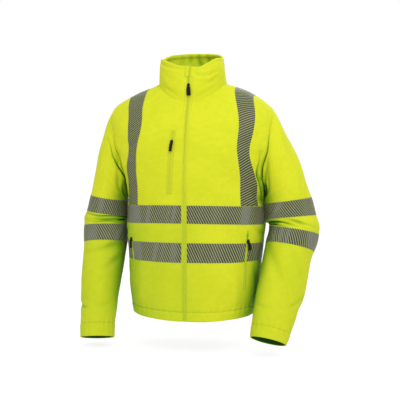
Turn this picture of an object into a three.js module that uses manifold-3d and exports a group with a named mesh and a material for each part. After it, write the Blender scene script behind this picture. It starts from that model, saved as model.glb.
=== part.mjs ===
// High-visibility softshell work jacket, filled out as if worn, with nobody in it.
// Millimetres. +Z is up, the front faces -Y and the wearer's left is +X.
// The origin is the middle of the neck at the height of the shoulder's high point.
// Fronts, back and tapes lie on one torso surface; each sleeve is a tube from its armhole to its cuff.
import * as THREE from "three";
import Module from "manifold-3d";

const wasm = await Module();
wasm.setup();

// Driving dimensions
const clothThickness = 2;
const hemThickness = 2.8;
const collarThickness = 3.2;
const seamGap = 0.3;
const tapeWidth = 50;
const tapeThickness = 0.6;
const tapeGap = 0.3;
const braceGap = 0.7;
const neckLevel = 4;
const shoulderTipLevel = -68;
const underarmLevel = -275;
const armholeFrontAngle = 24;
const armholeBackAngle = 23;
const upperBandTop = -341;
const lowerBandTop = -441;
const zipHalfOpening = 7;
const zipChainHalfWidth = 2.3;
const zipTapeDrop = 0.8;
const zipTapeThickness = 1;
const chainHeight = 1;
const zipHalfGap = 0.15;
const collarParting = 2.6;
const sideAngle = Math.PI / 2;

// A list of rows, each an object with the named columns.
function tableOf(columns, rows) {
  const names = columns.split(" ");
  return rows.map((row) => Object.fromEntries(names.map((name, i) => [name, row[i]])));
}

// Level is the height of a ring where it crosses the side; the other columns are measured on that ring.
const torsoRings = tableOf("name level side front back zFront zBack square sway", [
  ["hem", -645, 177, 138, 121, -655, -654, 2.2, -1],
  ["hip", -590, 187, 141, 124, -597, -600, 2.3, 0],
  ["pocket", -485, 191, 143, 123, -486, -489, 2.4, 3],
  ["waist", -385, 200, 144, 123, -379, -384, 2.4, 4],
  ["underarm", -275, 202, 145, 130, -276, -280, 2.4, 2],
  ["chest", -190, 230, 142, 138, -208, -198, 2.45, -1],
  ["yoke", -120, 239, 134, 139, -157, -134, 2.4, -4],
  ["tip", -68, 230, 122, 132, -118, -84, 2.3, -7],
  ["outerShoulder", -47, 205, 116, 126, -102, -64, 2.25, -8],
  ["midShoulder", -29, 172, 109, 117, -86, -44, 2.2, -6],
  ["innerShoulder", -8, 127, 98, 100, -66, -15, 2.1, -5],
  ["neck", 4, 97, 89, 84, -51, 12, 2.05, -6],
]);
const collarRings = tableOf("name level side front back zFront zBack zSide square sway", [
  ["seam", 0, 97, 89, 84, -50.4, 12.6, 4.6, 2.05, -6],
  ["lower", 0.35, 94, 88, 84, -16, 43, 29, 2.1, -7],
  ["upper", 0.7, 92, 83, 86, 18, 72, 54, 2.1, -8],
  ["edge", 1, 89.5, 76, 84, 47, 97, 76, 2.1, -9],
]);
// Outer and inner are the two ends of a ring seen from the front, forward how far its middle lies in front
// of the side seam, depth its half size front to back and tilt its lift at the front, in degrees.
const leftSleeveRings = tableOf("name along outerX outerZ innerX innerZ forward depth tilt", [
  ["armhole", 0, 228, -69, 202, -275, -2, 70, 0],
  ["cap", 26, 244, -92, 204.5, -286, -1, 72, 0],
  ["upper", 70, 267.5, -147, 206.5, -302, 0, 73, 0],
  ["biceps", 120, 297, -213, 207.5, -318, 0, 72, 0],
  ["upperTapeTop", 190, 331.5, -316, 208, -334, 0, 70, 0],
  ["upperTapeBottom", 240, 345, -366, 210, -379, 2, 69, 3],
  ["lowerTapeTop", 280, 352, -419, 220, -401, 8, 69, 10],
  ["lowerTapeBottom", 330, 342, -467, 211, -447, 19, 68, 15],
  ["forearm", 393, 329, -524, 197, -509, 36, 66, 18],
  ["midForearm", 460, 315, -590, 187, -574, 57, 61, 20],
  ["wrist", 525, 296, -650, 181, -632, 79, 55, 21],
  ["cuffSeam", 563, 285, -688, 179, -668, 92, 51, 22],
  ["cuff", 592, 273, -714, 177, -698, 102, 48, 22],
]);
const rightSleeveRings = tableOf("name along outerX outerZ innerX innerZ forward depth tilt", [
  ["armhole", 0, 233, -69, 201, -275, -2, 70, 0],
  ["cap", 26, 246, -92, 202.5, -286, -2, 72, 0],
  ["upper", 70, 270, -142, 204, -302, -2, 73, 0],
  ["biceps", 120, 288.5, -210, 205, -318, -2, 72, 0],
  ["upperTapeTop", 190, 312.5, -313, 205, -330, -2, 70, 0],
  ["upperTapeBottom", 240, 323, -361, 205, -376, 0, 69, 2],
  ["lowerTapeTop", 280, 330, -407, 205, -402, 4, 68, 8],
  ["lowerTapeBottom", 330, 329, -457, 203, -452, 13, 66, 12],
  ["forearm", 393, 329, -520, 209, -512, 26, 62, 15],
  ["midForearm", 460, 329, -590, 217, -580, 43, 57, 16],
  ["wrist", 525, 327, -650, 221.5, -641, 59, 52, 16],
  ["cuffSeam", 563, 323, -690, 223.5, -682, 69, 49, 16],
  ["cuff", 592, 320, -725, 223, -718, 77, 47, 16],
]);
const armholeGap = 0.9;
const armholeFade = 150;
// A soft trough (negative height) or ridge between two places, each an angle in degrees and a level.
const torsoDegreeLength = 2.9;
const torsoFolds = tableOf("name angleA levelA angleB levelB width height", [
  ["leftArmpitPull", 62, -196, 74, -262, 11, -6],
  ["rightArmpitPull", -62, -196, -74, -262, 11, -6],
  ["leftChestBreak", 44, -150, 62, -250, 14, -4],
  ["rightChestBreak", -42, -160, -62, -262, 14, -5],
  ["leftSideSwag", 66, -300, 84, -330, 12, -4],
  ["rightSideSwag", -66, -300, -84, -335, 12, -4],
  ["leftPocketSwell", 40, -500, 44, -590, 22, 4],
  ["rightPocketSwell", -40, -500, -44, -590, 22, 4],
  ["leftBackBreak", 118, -190, 104, -300, 16, -5],
  ["rightBackBreak", -118, -190, -104, -300, 16, -5],
  ["backHollow", 180, -260, 180, -420, 40, -5],
]);
const sleeveDegreeLength = 1.2;
const leftSleeveFolds = tableOf("name angleA levelA angleB levelB width height", [
  ["elbowCrease", 350, 266, 470, 260, 9, -5],
  ["elbowPouch", 130, 262, 230, 262, 15, 4],
  ["capTrough", 66, 20, 40, 96, 14, -5],
  ["forearmTwist", 40, 350, 110, 470, 15, -3],
  ["wristBreak", 130, 470, 210, 505, 12, -3],
  ["backElbow", 250, 252, 330, 270, 10, -4],
]);
const rightSleeveFolds = tableOf("name angleA levelA angleB levelB width height", [
  ["elbowCrease", 350, 258, 460, 262, 9, -7],
  ["elbowPouch", 140, 258, 220, 262, 14, 5],
  ["capTrough", 66, 20, 44, 90, 13, -5],
  ["forearmBreak", 20, 345, 120, 372, 12, -4],
  ["wristBreak", 120, 500, 200, 520, 12, -3],
  ["backElbow", 250, 252, 330, 270, 10, -4],
]);

// Vertical tapes: the distances of their two edges from the middle, by height.
const braceEdges = {
  left: [
    { z: -400, inner: 148, outer: 188 },
    { z: -210, inner: 148, outer: 188 },
    { z: -134, inner: 147, outer: 189 },
    { z: -68, inner: 138, outer: 186 },
    { z: -30, inner: 128, outer: 177 },
    { z: 60, inner: 122, outer: 171 },
  ],
  right: [
    { z: -400, inner: 140, outer: 182 },
    { z: -300, inner: 139, outer: 181 },
    { z: -230, inner: 143, outer: 178 },
    { z: -178, inner: 140, outer: 171 },
    { z: -130, inner: 129, outer: 168 },
    { z: -82, inner: 128, outer: 170 },
    { z: -30, inner: 128, outer: 177 },
    { z: 60, inner: 122, outer: 171 },
  ],
};
const backBraceEdges = [
  { z: -400, inner: 145, outer: 185 },
  { z: -210, inner: 144, outer: 186 },
  { z: -134, inner: 142, outer: 187 },
  { z: -68, inner: 135, outer: 183 },
  { z: -30, inner: 128, outer: 177 },
  { z: 60, inner: 122, outer: 171 },
];

// Shares of a front's width at which its columns stand; the hand pocket lies between two of them.
const pocketColumn = 8;
const frontColumns = [0, 0.08, 0.16, 0.24, 0.32, 0.4, 0.48, 0.54, 0.576, 0.612, 0.69, 0.77, 0.85, 0.93, 1];
const lowerLevels = [-645, -619, -589, -566, -528, -491, -441, -409, -391, -341, -308];
const armholeSteps = 10;
const shoulderLevels = [-54, -40, -24, -10, neckLevel];
const backColumnCount = 18;
const sleeveColumnCount = 2 * armholeSteps;
const sleeveStops = [
  0, 14, 38, 66, 96, 128, 160, 190, 240, 251, 262, 271, 280, 330, 366, 405, 446, 487, 526, 563, 592,
];
const handPocketTop = -409;
const handPocketBottom = -566;
const handPocketStart = 0.577;
const handPocketEnd = 0.611;
const handSliderLevel = -436;
const chestZip = {
  topX: -34,
  bottomX: -43,
  top: -131,
  bottom: -303,
  slider: -163,
  halfWidth: 6,
  chainHalfWidth: 1.9,
};
const mainSliderLevel = 0.45;
const collarBackSway = 10;
const sideTabs = [
  { name: "left", side: 1, top: -592, bottom: -621 },
  { name: "right", side: -1, top: -563, bottom: -592 },
];
// The dimensions of a slider and its pull, from the bar that the pull turns on.
const barHalf = 0.6;
const barHeight = 1;
const bridge = { halfLength: 2.6, hole: 1.6, halfWidth: 1.2, crown: 1, thickness: 1 };
const sliderPlate = { halfWidth: 4.1, halfLength: 5.6, thickness: 1.8 };
const pullWindow = { halfWidth: 2.2, length: 3.7 };
// Each pull's half width and length, and how far it leans towards the wearer's left, in degrees.
const pullSizes = {
  main: { halfWidth: 5.6, length: 29, lean: 3 },
  chest: { halfWidth: 4.2, length: 27, lean: -3 },
  pocketLeft: { halfWidth: 4, length: 25, lean: 18 },
  pocketRight: { halfWidth: 4, length: 25, lean: -9 },
};

const radians = THREE.MathUtils.degToRad;

const cloth = new THREE.MeshStandardMaterial({ color: 0xd4e01c, roughness: 0.85, metalness: 0 });
const reflective = new THREE.MeshStandardMaterial({ color: 0x7c7f70, roughness: 0.45, metalness: 0 });
const zipYellow = new THREE.MeshStandardMaterial({ color: 0xc3cf2a, roughness: 0.6, metalness: 0 });
const blackPlastic = new THREE.MeshStandardMaterial({ color: 0x10130f, roughness: 0.5, metalness: 0 });
const labelCloth = new THREE.MeshStandardMaterial({ color: 0x3f5a24, roughness: 0.8, metalness: 0 });

// Natural cubic spline through the points.
function spline(xs, ys) {
  const n = xs.length;
  const bend = new Array(n).fill(0);
  const scratch = new Array(n).fill(0);
  for (let i = 1; i < n - 1; i++) {
    const left = (xs[i] - xs[i - 1]) / (xs[i + 1] - xs[i - 1]);
    const pivot = left * bend[i - 1] + 2;
    const rise = (ys[i + 1] - ys[i]) / (xs[i + 1] - xs[i]) - (ys[i] - ys[i - 1]) / (xs[i] - xs[i - 1]);
    bend[i] = (left - 1) / pivot;
    scratch[i] = ((6 * rise) / (xs[i + 1] - xs[i - 1]) - left * scratch[i - 1]) / pivot;
  }
  bend[n - 1] = 0;
  for (let i = n - 2; i >= 0; i--) bend[i] = bend[i] * bend[i + 1] + scratch[i];
  return (x) => {
    let i = 0;
    while (i < n - 2 && x > xs[i + 1]) i++;
    const span = xs[i + 1] - xs[i];
    const a = (xs[i + 1] - x) / span;
    const b = (x - xs[i]) / span;
    const bent = (a ** 3 - a) * bend[i] + (b ** 3 - b) * bend[i + 1];
    return a * ys[i] + b * ys[i + 1] + (bent * span ** 2) / 6;
  };
}

// One spline for each column of a table, along the column named key.
function splines(table, key) {
  const made = {};
  for (const column of Object.keys(table[0]))
    if (column !== key && column !== "name")
      made[column] = spline(table.map((row) => row[key]), table.map((row) => row[column]));
  return made;
}

const torso = splines(torsoRings, "level");
const collar = splines(collarRings, "level");
const power = (value, exponent) => Math.sign(value) * Math.abs(value) ** exponent;

// A point on an oval ring; angle 0 is the centre front and a quarter turn the wearer's left side.
function ringPoint(rings, angle, level, zSide, backRise = 2) {
  const rounding = 2 / rings.square(level);
  const s = Math.sin(angle);
  const c = Math.cos(angle);
  const reach = c > 0 ? rings.front(level) : rings.back(level);
  const zMiddle = c > 0 ? rings.zFront(level) : rings.zBack(level);
  return new THREE.Vector3(
    rings.side(level) * power(s, rounding) + rings.sway(level) * (c > 0 ? s * s : 1),
    -reach * power(c, rounding),
    zSide + (zMiddle - zSide) * Math.abs(c) ** (c > 0 ? 2 : backRise),
  );
}

// How far the folds lift a surface at an angle in radians and a level.
function foldHeight(folds, degreeLength, angle, level) {
  let height = 0;
  for (const fold of folds)
    for (const turn of [-360, 0, 360]) {
      const x = (THREE.MathUtils.radToDeg(angle) + turn - fold.angleA) * degreeLength;
      const y = level - fold.levelA;
      const alongX = (fold.angleB - fold.angleA) * degreeLength;
      const alongY = fold.levelB - fold.levelA;
      const length = Math.hypot(alongX, alongY);
      const along = (x * alongX + y * alongY) / length;
      const across = (x * alongY - y * alongX) / length;
      const past = Math.max(0, -along, along - length) / (fold.width * 1.4);
      height += fold.height * Math.exp(-((across / fold.width) ** 2) - past ** 2);
    }
  return height;
}

// A surface's point and outward normal at (u, v), from its small steps du and dv.
function sampleOf(surface, u, v, du, dv) {
  const p = surface(u, v);
  const alongU = surface(u + du, v).sub(surface(u - du, v));
  const alongV = surface(u, v + dv).sub(surface(u, v - dv));
  return { p, n: alongU.cross(alongV).normalize() };
}

const plainTorso = (angle, level) => ringPoint(torso, angle, level, level);
function foldedTorso(angle, level) {
  const { p, n } = sampleOf(plainTorso, angle, level, 0.01, 1);
  return p.addScaledVector(n, foldHeight(torsoFolds, torsoDegreeLength, angle, level));
}
const torsoSample = (angle, level) => sampleOf(foldedTorso, angle, level, 0.01, 1);
function collarSurface(angle, level) {
  const p = ringPoint(collar, angle, level, collar.zSide(level), 1.3 + 0.7 * (1 - level));
  p.x -= collarBackSway * level * Math.max(0, -Math.cos(angle)) ** 2;
  return p;
}
const collarSample = (angle, level) => sampleOf(collarSurface, angle, level, 0.01, 0.01);

// The angle at which a torso or collar ring is x from the middle, on the front half.
function angleAtX(rings, x, level) {
  const share = Math.min(1, Math.abs(x) / rings.side(level));
  return Math.sign(x) * Math.asin(share ** (rings.square(level) / 2));
}

// Angle and level on the armhole; turn 0 is the underarm, a quarter turn its front, a half turn its top.
function armholePlace(turn) {
  const middle = (shoulderTipLevel + underarmLevel) / 2;
  const reach = (shoulderTipLevel - underarmLevel) / 2;
  const opening = Math.sin(turn) > 0 ? armholeFrontAngle : armholeBackAngle;
  return { angle: sideAngle - radians(opening) * Math.sin(turn), level: middle - reach * Math.cos(turn) };
}

function sleeveSurface(table, folds, side) {
  const rings = splines(table, "along");
  const ring = (turn, along) => {
    const outer = new THREE.Vector3(rings.outerX(along), 0, rings.outerZ(along));
    const inner = new THREE.Vector3(rings.innerX(along), 0, rings.innerZ(along));
    const tilt = radians(rings.tilt(along));
    const ahead = new THREE.Vector3(0, -Math.cos(tilt), Math.sin(tilt));
    return new THREE.Vector3()
      .addVectors(outer, inner)
      .multiplyScalar(0.5)
      .addScaledVector(outer.sub(inner), -Math.cos(turn) / 2)
      .addScaledVector(ahead, rings.depth(along) * Math.sin(turn))
      .add(new THREE.Vector3(0, -rings.forward(along), 0));
  };
  const plain = (turn, along) => {
    const place = armholePlace(turn);
    const hole = foldedTorso(side * place.angle, place.level);
    hole.x *= side;
    const share = Math.min(1, Math.max(0, along / armholeFade));
    const fade = 1 - share * share * (3 - 2 * share);
    const p = ring(turn, along).addScaledVector(hole.sub(ring(turn, 0)), fade);
    p.x += armholeGap;
    return p;
  };
  const folded = (turn, along) => {
    const { p, n } = sampleOf(plain, turn, along, -0.02, 1);
    const share = Math.min(1, Math.max(0, along / 24));
    return p.addScaledVector(n, share * foldHeight(folds, sleeveDegreeLength, turn, along));
  };
  return (turn, along) => {
    const made = sampleOf(folded, turn, along, -0.02, 1);
    if (side < 0) {
      made.p.x *= -1;
      made.n.x *= -1;
    }
    return made;
  };
}

// A closed solid between two offsets of a grid of samples; a wrapped grid is a tube, open at both ends.
function wall(samples, outerOffset, thickness, wrapped = false) {
  const rows = samples.length;
  const columns = samples[0].length;
  const positions = [];
  const valueAt = (given, j, i) => (typeof given === "function" ? given(j, i) : given);
  for (const layer of [0, 1])
    samples.forEach((row, j) =>
      row.forEach(({ p, n }, i) => {
        const offset = valueAt(outerOffset, j, i) - layer * valueAt(thickness, j, i);
        const at = p.clone().addScaledVector(n, offset);
        positions.push(at.x, at.y, at.z);
      }),
    );
  const at = (layer, j, i) => layer * rows * columns + j * columns + (i % columns);
  const index = [];
  const quad = (a, b, c, d) => index.push(a, b, c, a, c, d);
  const lastColumn = wrapped ? columns : columns - 1;
  for (let j = 0; j < rows - 1; j++)
    for (let i = 0; i < lastColumn; i++) {
      quad(at(0, j, i), at(0, j, i + 1), at(0, j + 1, i + 1), at(0, j + 1, i));
      quad(at(1, j, i), at(1, j + 1, i), at(1, j + 1, i + 1), at(1, j, i + 1));
    }
  for (let i = 0; i < lastColumn; i++) {
    quad(at(0, 0, i), at(1, 0, i), at(1, 0, i + 1), at(0, 0, i + 1));
    quad(at(0, rows - 1, i), at(0, rows - 1, i + 1), at(1, rows - 1, i + 1), at(1, rows - 1, i));
  }
  if (!wrapped)
    for (let j = 0; j < rows - 1; j++) {
      const last = columns - 1;
      quad(at(0, j, 0), at(0, j + 1, 0), at(1, j + 1, 0), at(1, j, 0));
      quad(at(0, j, last), at(1, j, last), at(1, j + 1, last), at(0, j + 1, last));
    }
  return facingOut(positions, index);
}

// A geometry from a triangle list, turned so that its faces point outwards.
function facingOut(positions, index) {
  let volume = 0;
  const corner = (i) => new THREE.Vector3().fromArray(positions, 3 * i);
  for (let i = 0; i < index.length; i += 3)
    volume += corner(index[i]).dot(corner(index[i + 1]).cross(corner(index[i + 2])));
  if (volume < 0)
    for (let i = 0; i < index.length; i += 3) [index[i + 1], index[i + 2]] = [index[i + 2], index[i + 1]];
  const geometry = new THREE.BufferGeometry();
  geometry.setAttribute("position", new THREE.Float32BufferAttribute(positions, 3));
  geometry.setIndex(index);
  return geometry;
}

const jacket = new THREE.Group();
function addMesh(name, geometry, material) {
  const mesh = new THREE.Mesh(geometry, material);
  mesh.name = name;
  jacket.add(mesh);
  return mesh;
}

// Torso rows: level and how far round the front or back the panel reaches there.
function panelRows() {
  const rows = lowerLevels.map((level) => ({ level, front: 0, back: 0 }));
  for (let step = 0; step <= armholeSteps; step++) {
    const turn = (Math.PI * step) / armholeSteps;
    const place = armholePlace(turn);
    const pull = sideAngle - place.angle;
    rows.push({ level: place.level, front: pull, back: (pull * armholeBackAngle) / armholeFrontAngle });
  }
  for (const level of shoulderLevels) rows.push({ level, front: 0, back: 0 });
  return rows;
}
const rows = panelRows();
const seamAngle = (level) => (seamGap * 0.75) / torso.side(level);
const hemWall = (j) => (rows[j].level < lowerLevels[1] + 1 ? hemThickness : clothThickness);

function frontSamples(side, chosenRows, chosenColumns, trimStart = 0, trimEnd = 0) {
  return chosenRows.map(({ level, front }) => {
    const start = angleAtX(torso, zipHalfOpening, level);
    const end = sideAngle - front - seamAngle(level);
    return chosenColumns.map((share, i) => {
      const trim = (i === 0 ? trimStart : 0) - (i === chosenColumns.length - 1 ? trimEnd : 0);
      return torsoSample(side * (start + (end - start) * share + trim / torso.side(level)), level);
    });
  });
}

function backSamples(chosenRows) {
  return chosenRows.map(({ level, back }) => {
    const start = sideAngle + back + seamAngle(level);
    const end = 2 * Math.PI - start;
    return Array.from({ length: backColumnCount + 1 }, (_, i) =>
      torsoSample(start + ((end - start) * i) / backColumnCount, level),
    );
  });
}

const sides = [
  { name: "left", side: 1, rings: leftSleeveRings, folds: leftSleeveFolds },
  { name: "right", side: -1, rings: rightSleeveRings, folds: rightSleeveFolds },
];
const rowsBetween = (low, high) => rows.filter(({ level }) => level >= low - 1 && level <= high + 1);
const upperBandRows = rowsBetween(upperBandTop - tapeWidth, upperBandTop);
const lowerBandRows = rowsBetween(lowerBandTop - tapeWidth, lowerBandTop);

function addFronts() {
  for (const { name, side } of sides) {
    addMesh("front_" + name, wall(frontSamples(side, rows, frontColumns), 0, hemWall), cloth);
    const lift = tapeGap + tapeThickness;
    const upper = frontSamples(side, upperBandRows, frontColumns, seamGap, seamGap);
    addMesh("upper_band_front_" + name, wall(upper, lift, tapeThickness), reflective);
    const inside = frontColumns.slice(0, pocketColumn + 1);
    const outside = frontColumns.slice(pocketColumn + 1);
    const inner = frontSamples(side, lowerBandRows, inside, seamGap, 2 * seamGap);
    const outer = frontSamples(side, lowerBandRows, outside, 2 * seamGap, seamGap);
    addMesh("lower_band_front_" + name, wall(inner, lift, tapeThickness), reflective);
    addMesh("lower_band_side_" + name, wall(outer, lift, tapeThickness), reflective);
  }
}

function addBack() {
  addMesh("back", wall(backSamples(rows), 0, hemWall), cloth);
  const lift = tapeGap + tapeThickness;
  addMesh("upper_band_back", wall(backSamples(upperBandRows), lift, tapeThickness), reflective);
  addMesh("lower_band_back", wall(backSamples(lowerBandRows), lift, tapeThickness), reflective);
}

// A prism along Y whose outline is a list of (x, z) corners, in front of the side seams or behind them.
function prism(outline, behind = false) {
  const reach = 300;
  return wasm.Manifold.extrude([outline], reach)
    .rotate([90, 0, 0])
    .translate([0, behind ? reach : 0, 0]);
}

// A box between two opposite corners.
function block(low, high) {
  const size = high.map((value, i) => value - low[i]);
  return wasm.Manifold.cube(size).translate(low);
}

function solidOf(geometry) {
  const vertProperties = Float32Array.from(geometry.getAttribute("position").array);
  const triVerts = Uint32Array.from(geometry.getIndex().array);
  return new wasm.Manifold(new wasm.Mesh({ numProp: 3, vertProperties, triVerts }));
}

function geometryOf(solid) {
  const { numProp, vertProperties, triVerts } = solid.getMesh();
  const geometry = new THREE.BufferGeometry();
  const positions = [];
  for (let i = 0; i < vertProperties.length; i += numProp) positions.push(...vertProperties.slice(i, i + 3));
  geometry.setAttribute("position", new THREE.Float32BufferAttribute(positions, 3));
  geometry.setIndex(Array.from(triVerts));
  return geometry;
}

// The vertical tapes, up the chest to the shoulder seam and down the back.
function addBraces() {
  const upperRows = rows.filter(({ level }) => level >= upperBandTop - 1).map((row) => ({ ...row }));
  upperRows[0].level += 2 * seamGap;
  const halves = [
    { name: "front", edgesOf: braceEdges, behind: false },
    { name: "back", edgesOf: { left: backBraceEdges, right: backBraceEdges }, behind: true },
  ];
  for (const { name: half, edgesOf, behind } of halves)
    for (const { name, side } of sides) {
      const edges = edgesOf[name];
      const samples = behind ? backSamples(upperRows) : frontSamples(side, upperRows, frontColumns);
      const cover = solidOf(wall(samples, braceGap + tapeThickness, tapeThickness));
      const up = edges.map(({ z, outer }) => [side * outer, z]);
      const down = edges.map(({ z, inner }) => [side * inner, z]).reverse();
      const outline = [...up, ...down];
      const cut = cover.intersect(prism(side > 0 ? outline : outline.reverse(), behind));
      addMesh(`brace_${half}_${name}`, geometryOf(cut), reflective);
    }
}

function addCollar() {
  const levels = [0, 0.2, mainSliderLevel, 0.7, 0.85, 1];
  const columnCount = 34;
  const samples = levels.map((level) => {
    const start = angleAtX(collar, zipHalfOpening + parting(level), level);
    return Array.from({ length: columnCount + 1 }, (_, i) =>
      collarSample(start + ((2 * Math.PI - 2 * start) * i) / columnCount, level),
    );
  });
  addMesh("collar", wall(samples, 0, collarThickness), cloth);
}

function addSleeves() {
  for (const { name, side, rings, folds } of sides) {
    const sleeve = sleeveSurface(rings, folds, side);
    const ringAt = Object.fromEntries(rings.map((row) => [row.name, row.along]));
    const columnTurn = (side * 2 * Math.PI) / sleeveColumnCount;
    const samplesAt = (chosen) =>
      chosen.map((along) =>
        Array.from({ length: sleeveColumnCount }, (_, i) => sleeve(columnTurn * i, along)),
      );
    const thickness = (j) => (sleeveStops[j] >= ringAt.cuffSeam ? hemThickness : clothThickness);
    addMesh("sleeve_" + name, wall(samplesAt(sleeveStops), 0, thickness, true), cloth);
    for (const level of ["upper", "lower"]) {
      const top = ringAt[level + "TapeTop"];
      const bottom = ringAt[level + "TapeBottom"];
      const span = sleeveStops.filter((stop) => stop >= top && stop <= bottom);
      const lift = tapeGap + tapeThickness;
      addMesh(`sleeve_${level}_band_${name}`, wall(samplesAt(span), lift, tapeThickness, true), reflective);
    }
  }
}

// The two halves of the front zip: tape and teeth, from the hem to the top of the collar.
function addMainZip() {
  const across = [zipHalfGap, zipChainHalfWidth, zipChainHalfWidth + 0.3, zipHalfOpening - seamGap];
  const levels = [...rows.map(({ level }) => level), 0, 0.2, mainSliderLevel, 0.7, 1];
  const hemRow = rows.length;
  for (const { name, side } of sides) {
    const samples = levels.map((level, j) => {
      const rings = j < hemRow ? torso : collar;
      const sample = j < hemRow ? torsoSample : collarSample;
      const apart = j < hemRow ? 0 : parting(level);
      return across.map((x) => sample(side * angleAtX(rings, x + apart, level), level));
    });
    const offset = (j, i) => (i < 2 ? zipTapeDrop : -zipTapeDrop);
    const thickness = (j, i) => (i < 2 ? zipTapeThickness + 2 * zipTapeDrop : zipTapeThickness);
    addMesh("main_zip_" + name, wall(samples, offset, thickness), zipYellow);
  }
}

// How far each half of the open end of the front zip stands off the middle.
function parting(collarLevel) {
  return collarParting * Math.max(0, (collarLevel - mainSliderLevel) / (1 - mainSliderLevel));
}

function addHandPocketZips() {
  const across = [0, 0.3, 0.34, 0.66, 0.7, 1];
  const shares = across.map((share) => handPocketStart + (handPocketEnd - handPocketStart) * share);
  const span = rowsBetween(handPocketBottom, handPocketTop);
  for (const { name, side } of sides) {
    const samples = frontSamples(side, span, shares);
    const isChain = (i) => i > 1 && i < 4;
    const thickness = (j, i) => zipTapeThickness + (isChain(i) ? chainHeight : 0);
    const offset = (j, i) => tapeGap + thickness(j, i);
    addMesh("pocket_zip_" + name, wall(samples, offset, thickness), zipYellow);
  }
}

function addChestZip() {
  const span = rows.filter(({ level }) => level < neckLevel);
  const samples = frontSamples(-1, span, frontColumns);
  const strip = (halfWidth, thickness) => {
    const outline = [
      [chestZip.bottomX - halfWidth, chestZip.bottom],
      [chestZip.bottomX + halfWidth, chestZip.bottom],
      [chestZip.topX + halfWidth, chestZip.top],
      [chestZip.topX - halfWidth, chestZip.top],
    ];
    return solidOf(wall(samples, tapeGap + thickness, thickness)).intersect(prism(outline));
  };
  const tape = strip(chestZip.halfWidth, zipTapeThickness);
  const chain = strip(chestZip.chainHalfWidth, zipTapeThickness + chainHeight);
  addMesh("chest_zip", geometryOf(tape.add(chain)), zipYellow);
}

// A slider and its pull, modelled with X across, Y up the zip and Z outwards, the pull's bar on the X axis.
function sliderSolid() {
  const { halfWidth, halfLength, thickness } = sliderPlate;
  const corner = halfWidth * 0.45;
  const plateOutline = [
    [-halfWidth + corner, -halfLength],
    [halfWidth - corner, -halfLength],
    [halfWidth, -halfLength + corner],
    [halfWidth, halfLength * 0.4],
    [halfWidth * 0.5, halfLength],
    [-halfWidth * 0.5, halfLength],
    [-halfWidth, halfLength * 0.4],
    [-halfWidth, -halfLength + corner],
  ];
  const plate = wasm.Manifold.extrude([plateOutline], thickness).translate([0, 0, -barHeight - thickness]);
  const top = bridge.crown + bridge.thickness;
  const sunk = barHeight + seamGap;
  const arch = block(
    [-bridge.halfWidth, -bridge.halfLength, -sunk],
    [bridge.halfWidth, bridge.halfLength, top],
  );
  const hole = block([-halfWidth, -bridge.hole, -barHeight], [halfWidth, bridge.hole, bridge.crown]);
  return plate.add(arch.subtract(hole));
}

function pullSolid({ halfWidth, length }) {
  const neckHalf = pullWindow.halfWidth + 1.2;
  const windowEnd = -pullWindow.length;
  const frame = block([-neckHalf, windowEnd - 1.2, -barHalf], [neckHalf, barHalf, barHalf]);
  const opening = block([-pullWindow.halfWidth, windowEnd, -5], [pullWindow.halfWidth, -barHalf, 5]);
  const corner = halfWidth * 0.35;
  const tabOutline = [
    [-halfWidth + corner, -length],
    [halfWidth - corner, -length],
    [halfWidth, -length + corner],
    [halfWidth * 0.92, windowEnd - 3],
    [neckHalf, windowEnd - 1],
    [-neckHalf, windowEnd - 1],
    [-halfWidth * 0.92, windowEnd - 3],
    [-halfWidth, -length + corner],
  ];
  const tab = wasm.Manifold.extrude([tabOutline], 2.4).translate([0, 0, -barHalf]);
  return frame.subtract(opening).add(tab);
}

// Sets a slider and pull over a zip: base lies under the slider's middle, below under the pull's end.
function addSlider(name, base, below, size) {
  const up = new THREE.Vector3().subVectors(base.p, below.p).normalize();
  const across = new THREE.Vector3().crossVectors(up, base.n).normalize();
  const out = new THREE.Vector3().crossVectors(across, up);
  const lift = base.lift + seamGap + sliderPlate.thickness + barHeight;
  const origin = base.p.clone().addScaledVector(out, lift);
  const place = new THREE.Matrix4().makeBasis(across, up, out).setPosition(origin);
  const turned = new THREE.Matrix4().makeRotationZ(radians(size.lean)).premultiply(place);
  addMesh(name + "_slider", geometryOf(sliderSolid()).applyMatrix4(place), blackPlastic);
  addMesh(name + "_pull", geometryOf(pullSolid(size)).applyMatrix4(turned), blackPlastic);
}

function addSliders() {
  const chainLift = tapeGap + zipTapeThickness + chainHeight;
  const main = { ...collarSample(0, mainSliderLevel), lift: zipTapeDrop };
  addSlider("main", main, collarSample(0, 0.1), pullSizes.main);
  const chestAt = (z) => {
    const share = (z - chestZip.bottom) / (chestZip.top - chestZip.bottom);
    return surfaceAt(chestZip.bottomX + (chestZip.topX - chestZip.bottomX) * share, z);
  };
  const chestEnd = chestZip.slider - pullSizes.chest.length;
  addSlider("chest", { ...chestAt(chestZip.slider), lift: chainLift }, chestAt(chestEnd), pullSizes.chest);
  for (const { name, side } of sides) {
    const share = (handPocketStart + handPocketEnd) / 2;
    const at = (level) => frontSamples(side, [{ level, front: 0 }], [share])[0][0];
    const size = pullSizes[side > 0 ? "pocketLeft" : "pocketRight"];
    const end = at(handSliderLevel - size.length);
    addSlider(`pocket_${name}`, { ...at(handSliderLevel), lift: chainLift }, end, size);
  }
}

// The torso's front sample at a distance x from the middle and a height z.
function surfaceAt(x, z) {
  let low = underarmLevel - 300;
  let high = neckLevel;
  for (let i = 0; i < 40; i++) {
    const middle = (low + high) / 2;
    if (foldedTorso(angleAtX(torso, x, middle), middle).z < z) low = middle;
    else high = middle;
  }
  return torsoSample(angleAtX(torso, x, low), low);
}

// The folded loops sewn into the side seams near the hem.
function addSideTabs() {
  const reach = 5;
  const halfThickness = 0.9;
  for (const { name, side, top, bottom } of sideTabs) {
    const samples = [bottom, (bottom + top) / 2, top].map((level) => {
      const turn = halfThickness / torso.front(level);
      return [-turn, turn].map((step) => torsoSample(side * (sideAngle + step), level));
    });
    addMesh("side_tab_" + name, wall(samples, tapeGap + reach, reach), labelCloth);
  }
}

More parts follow.
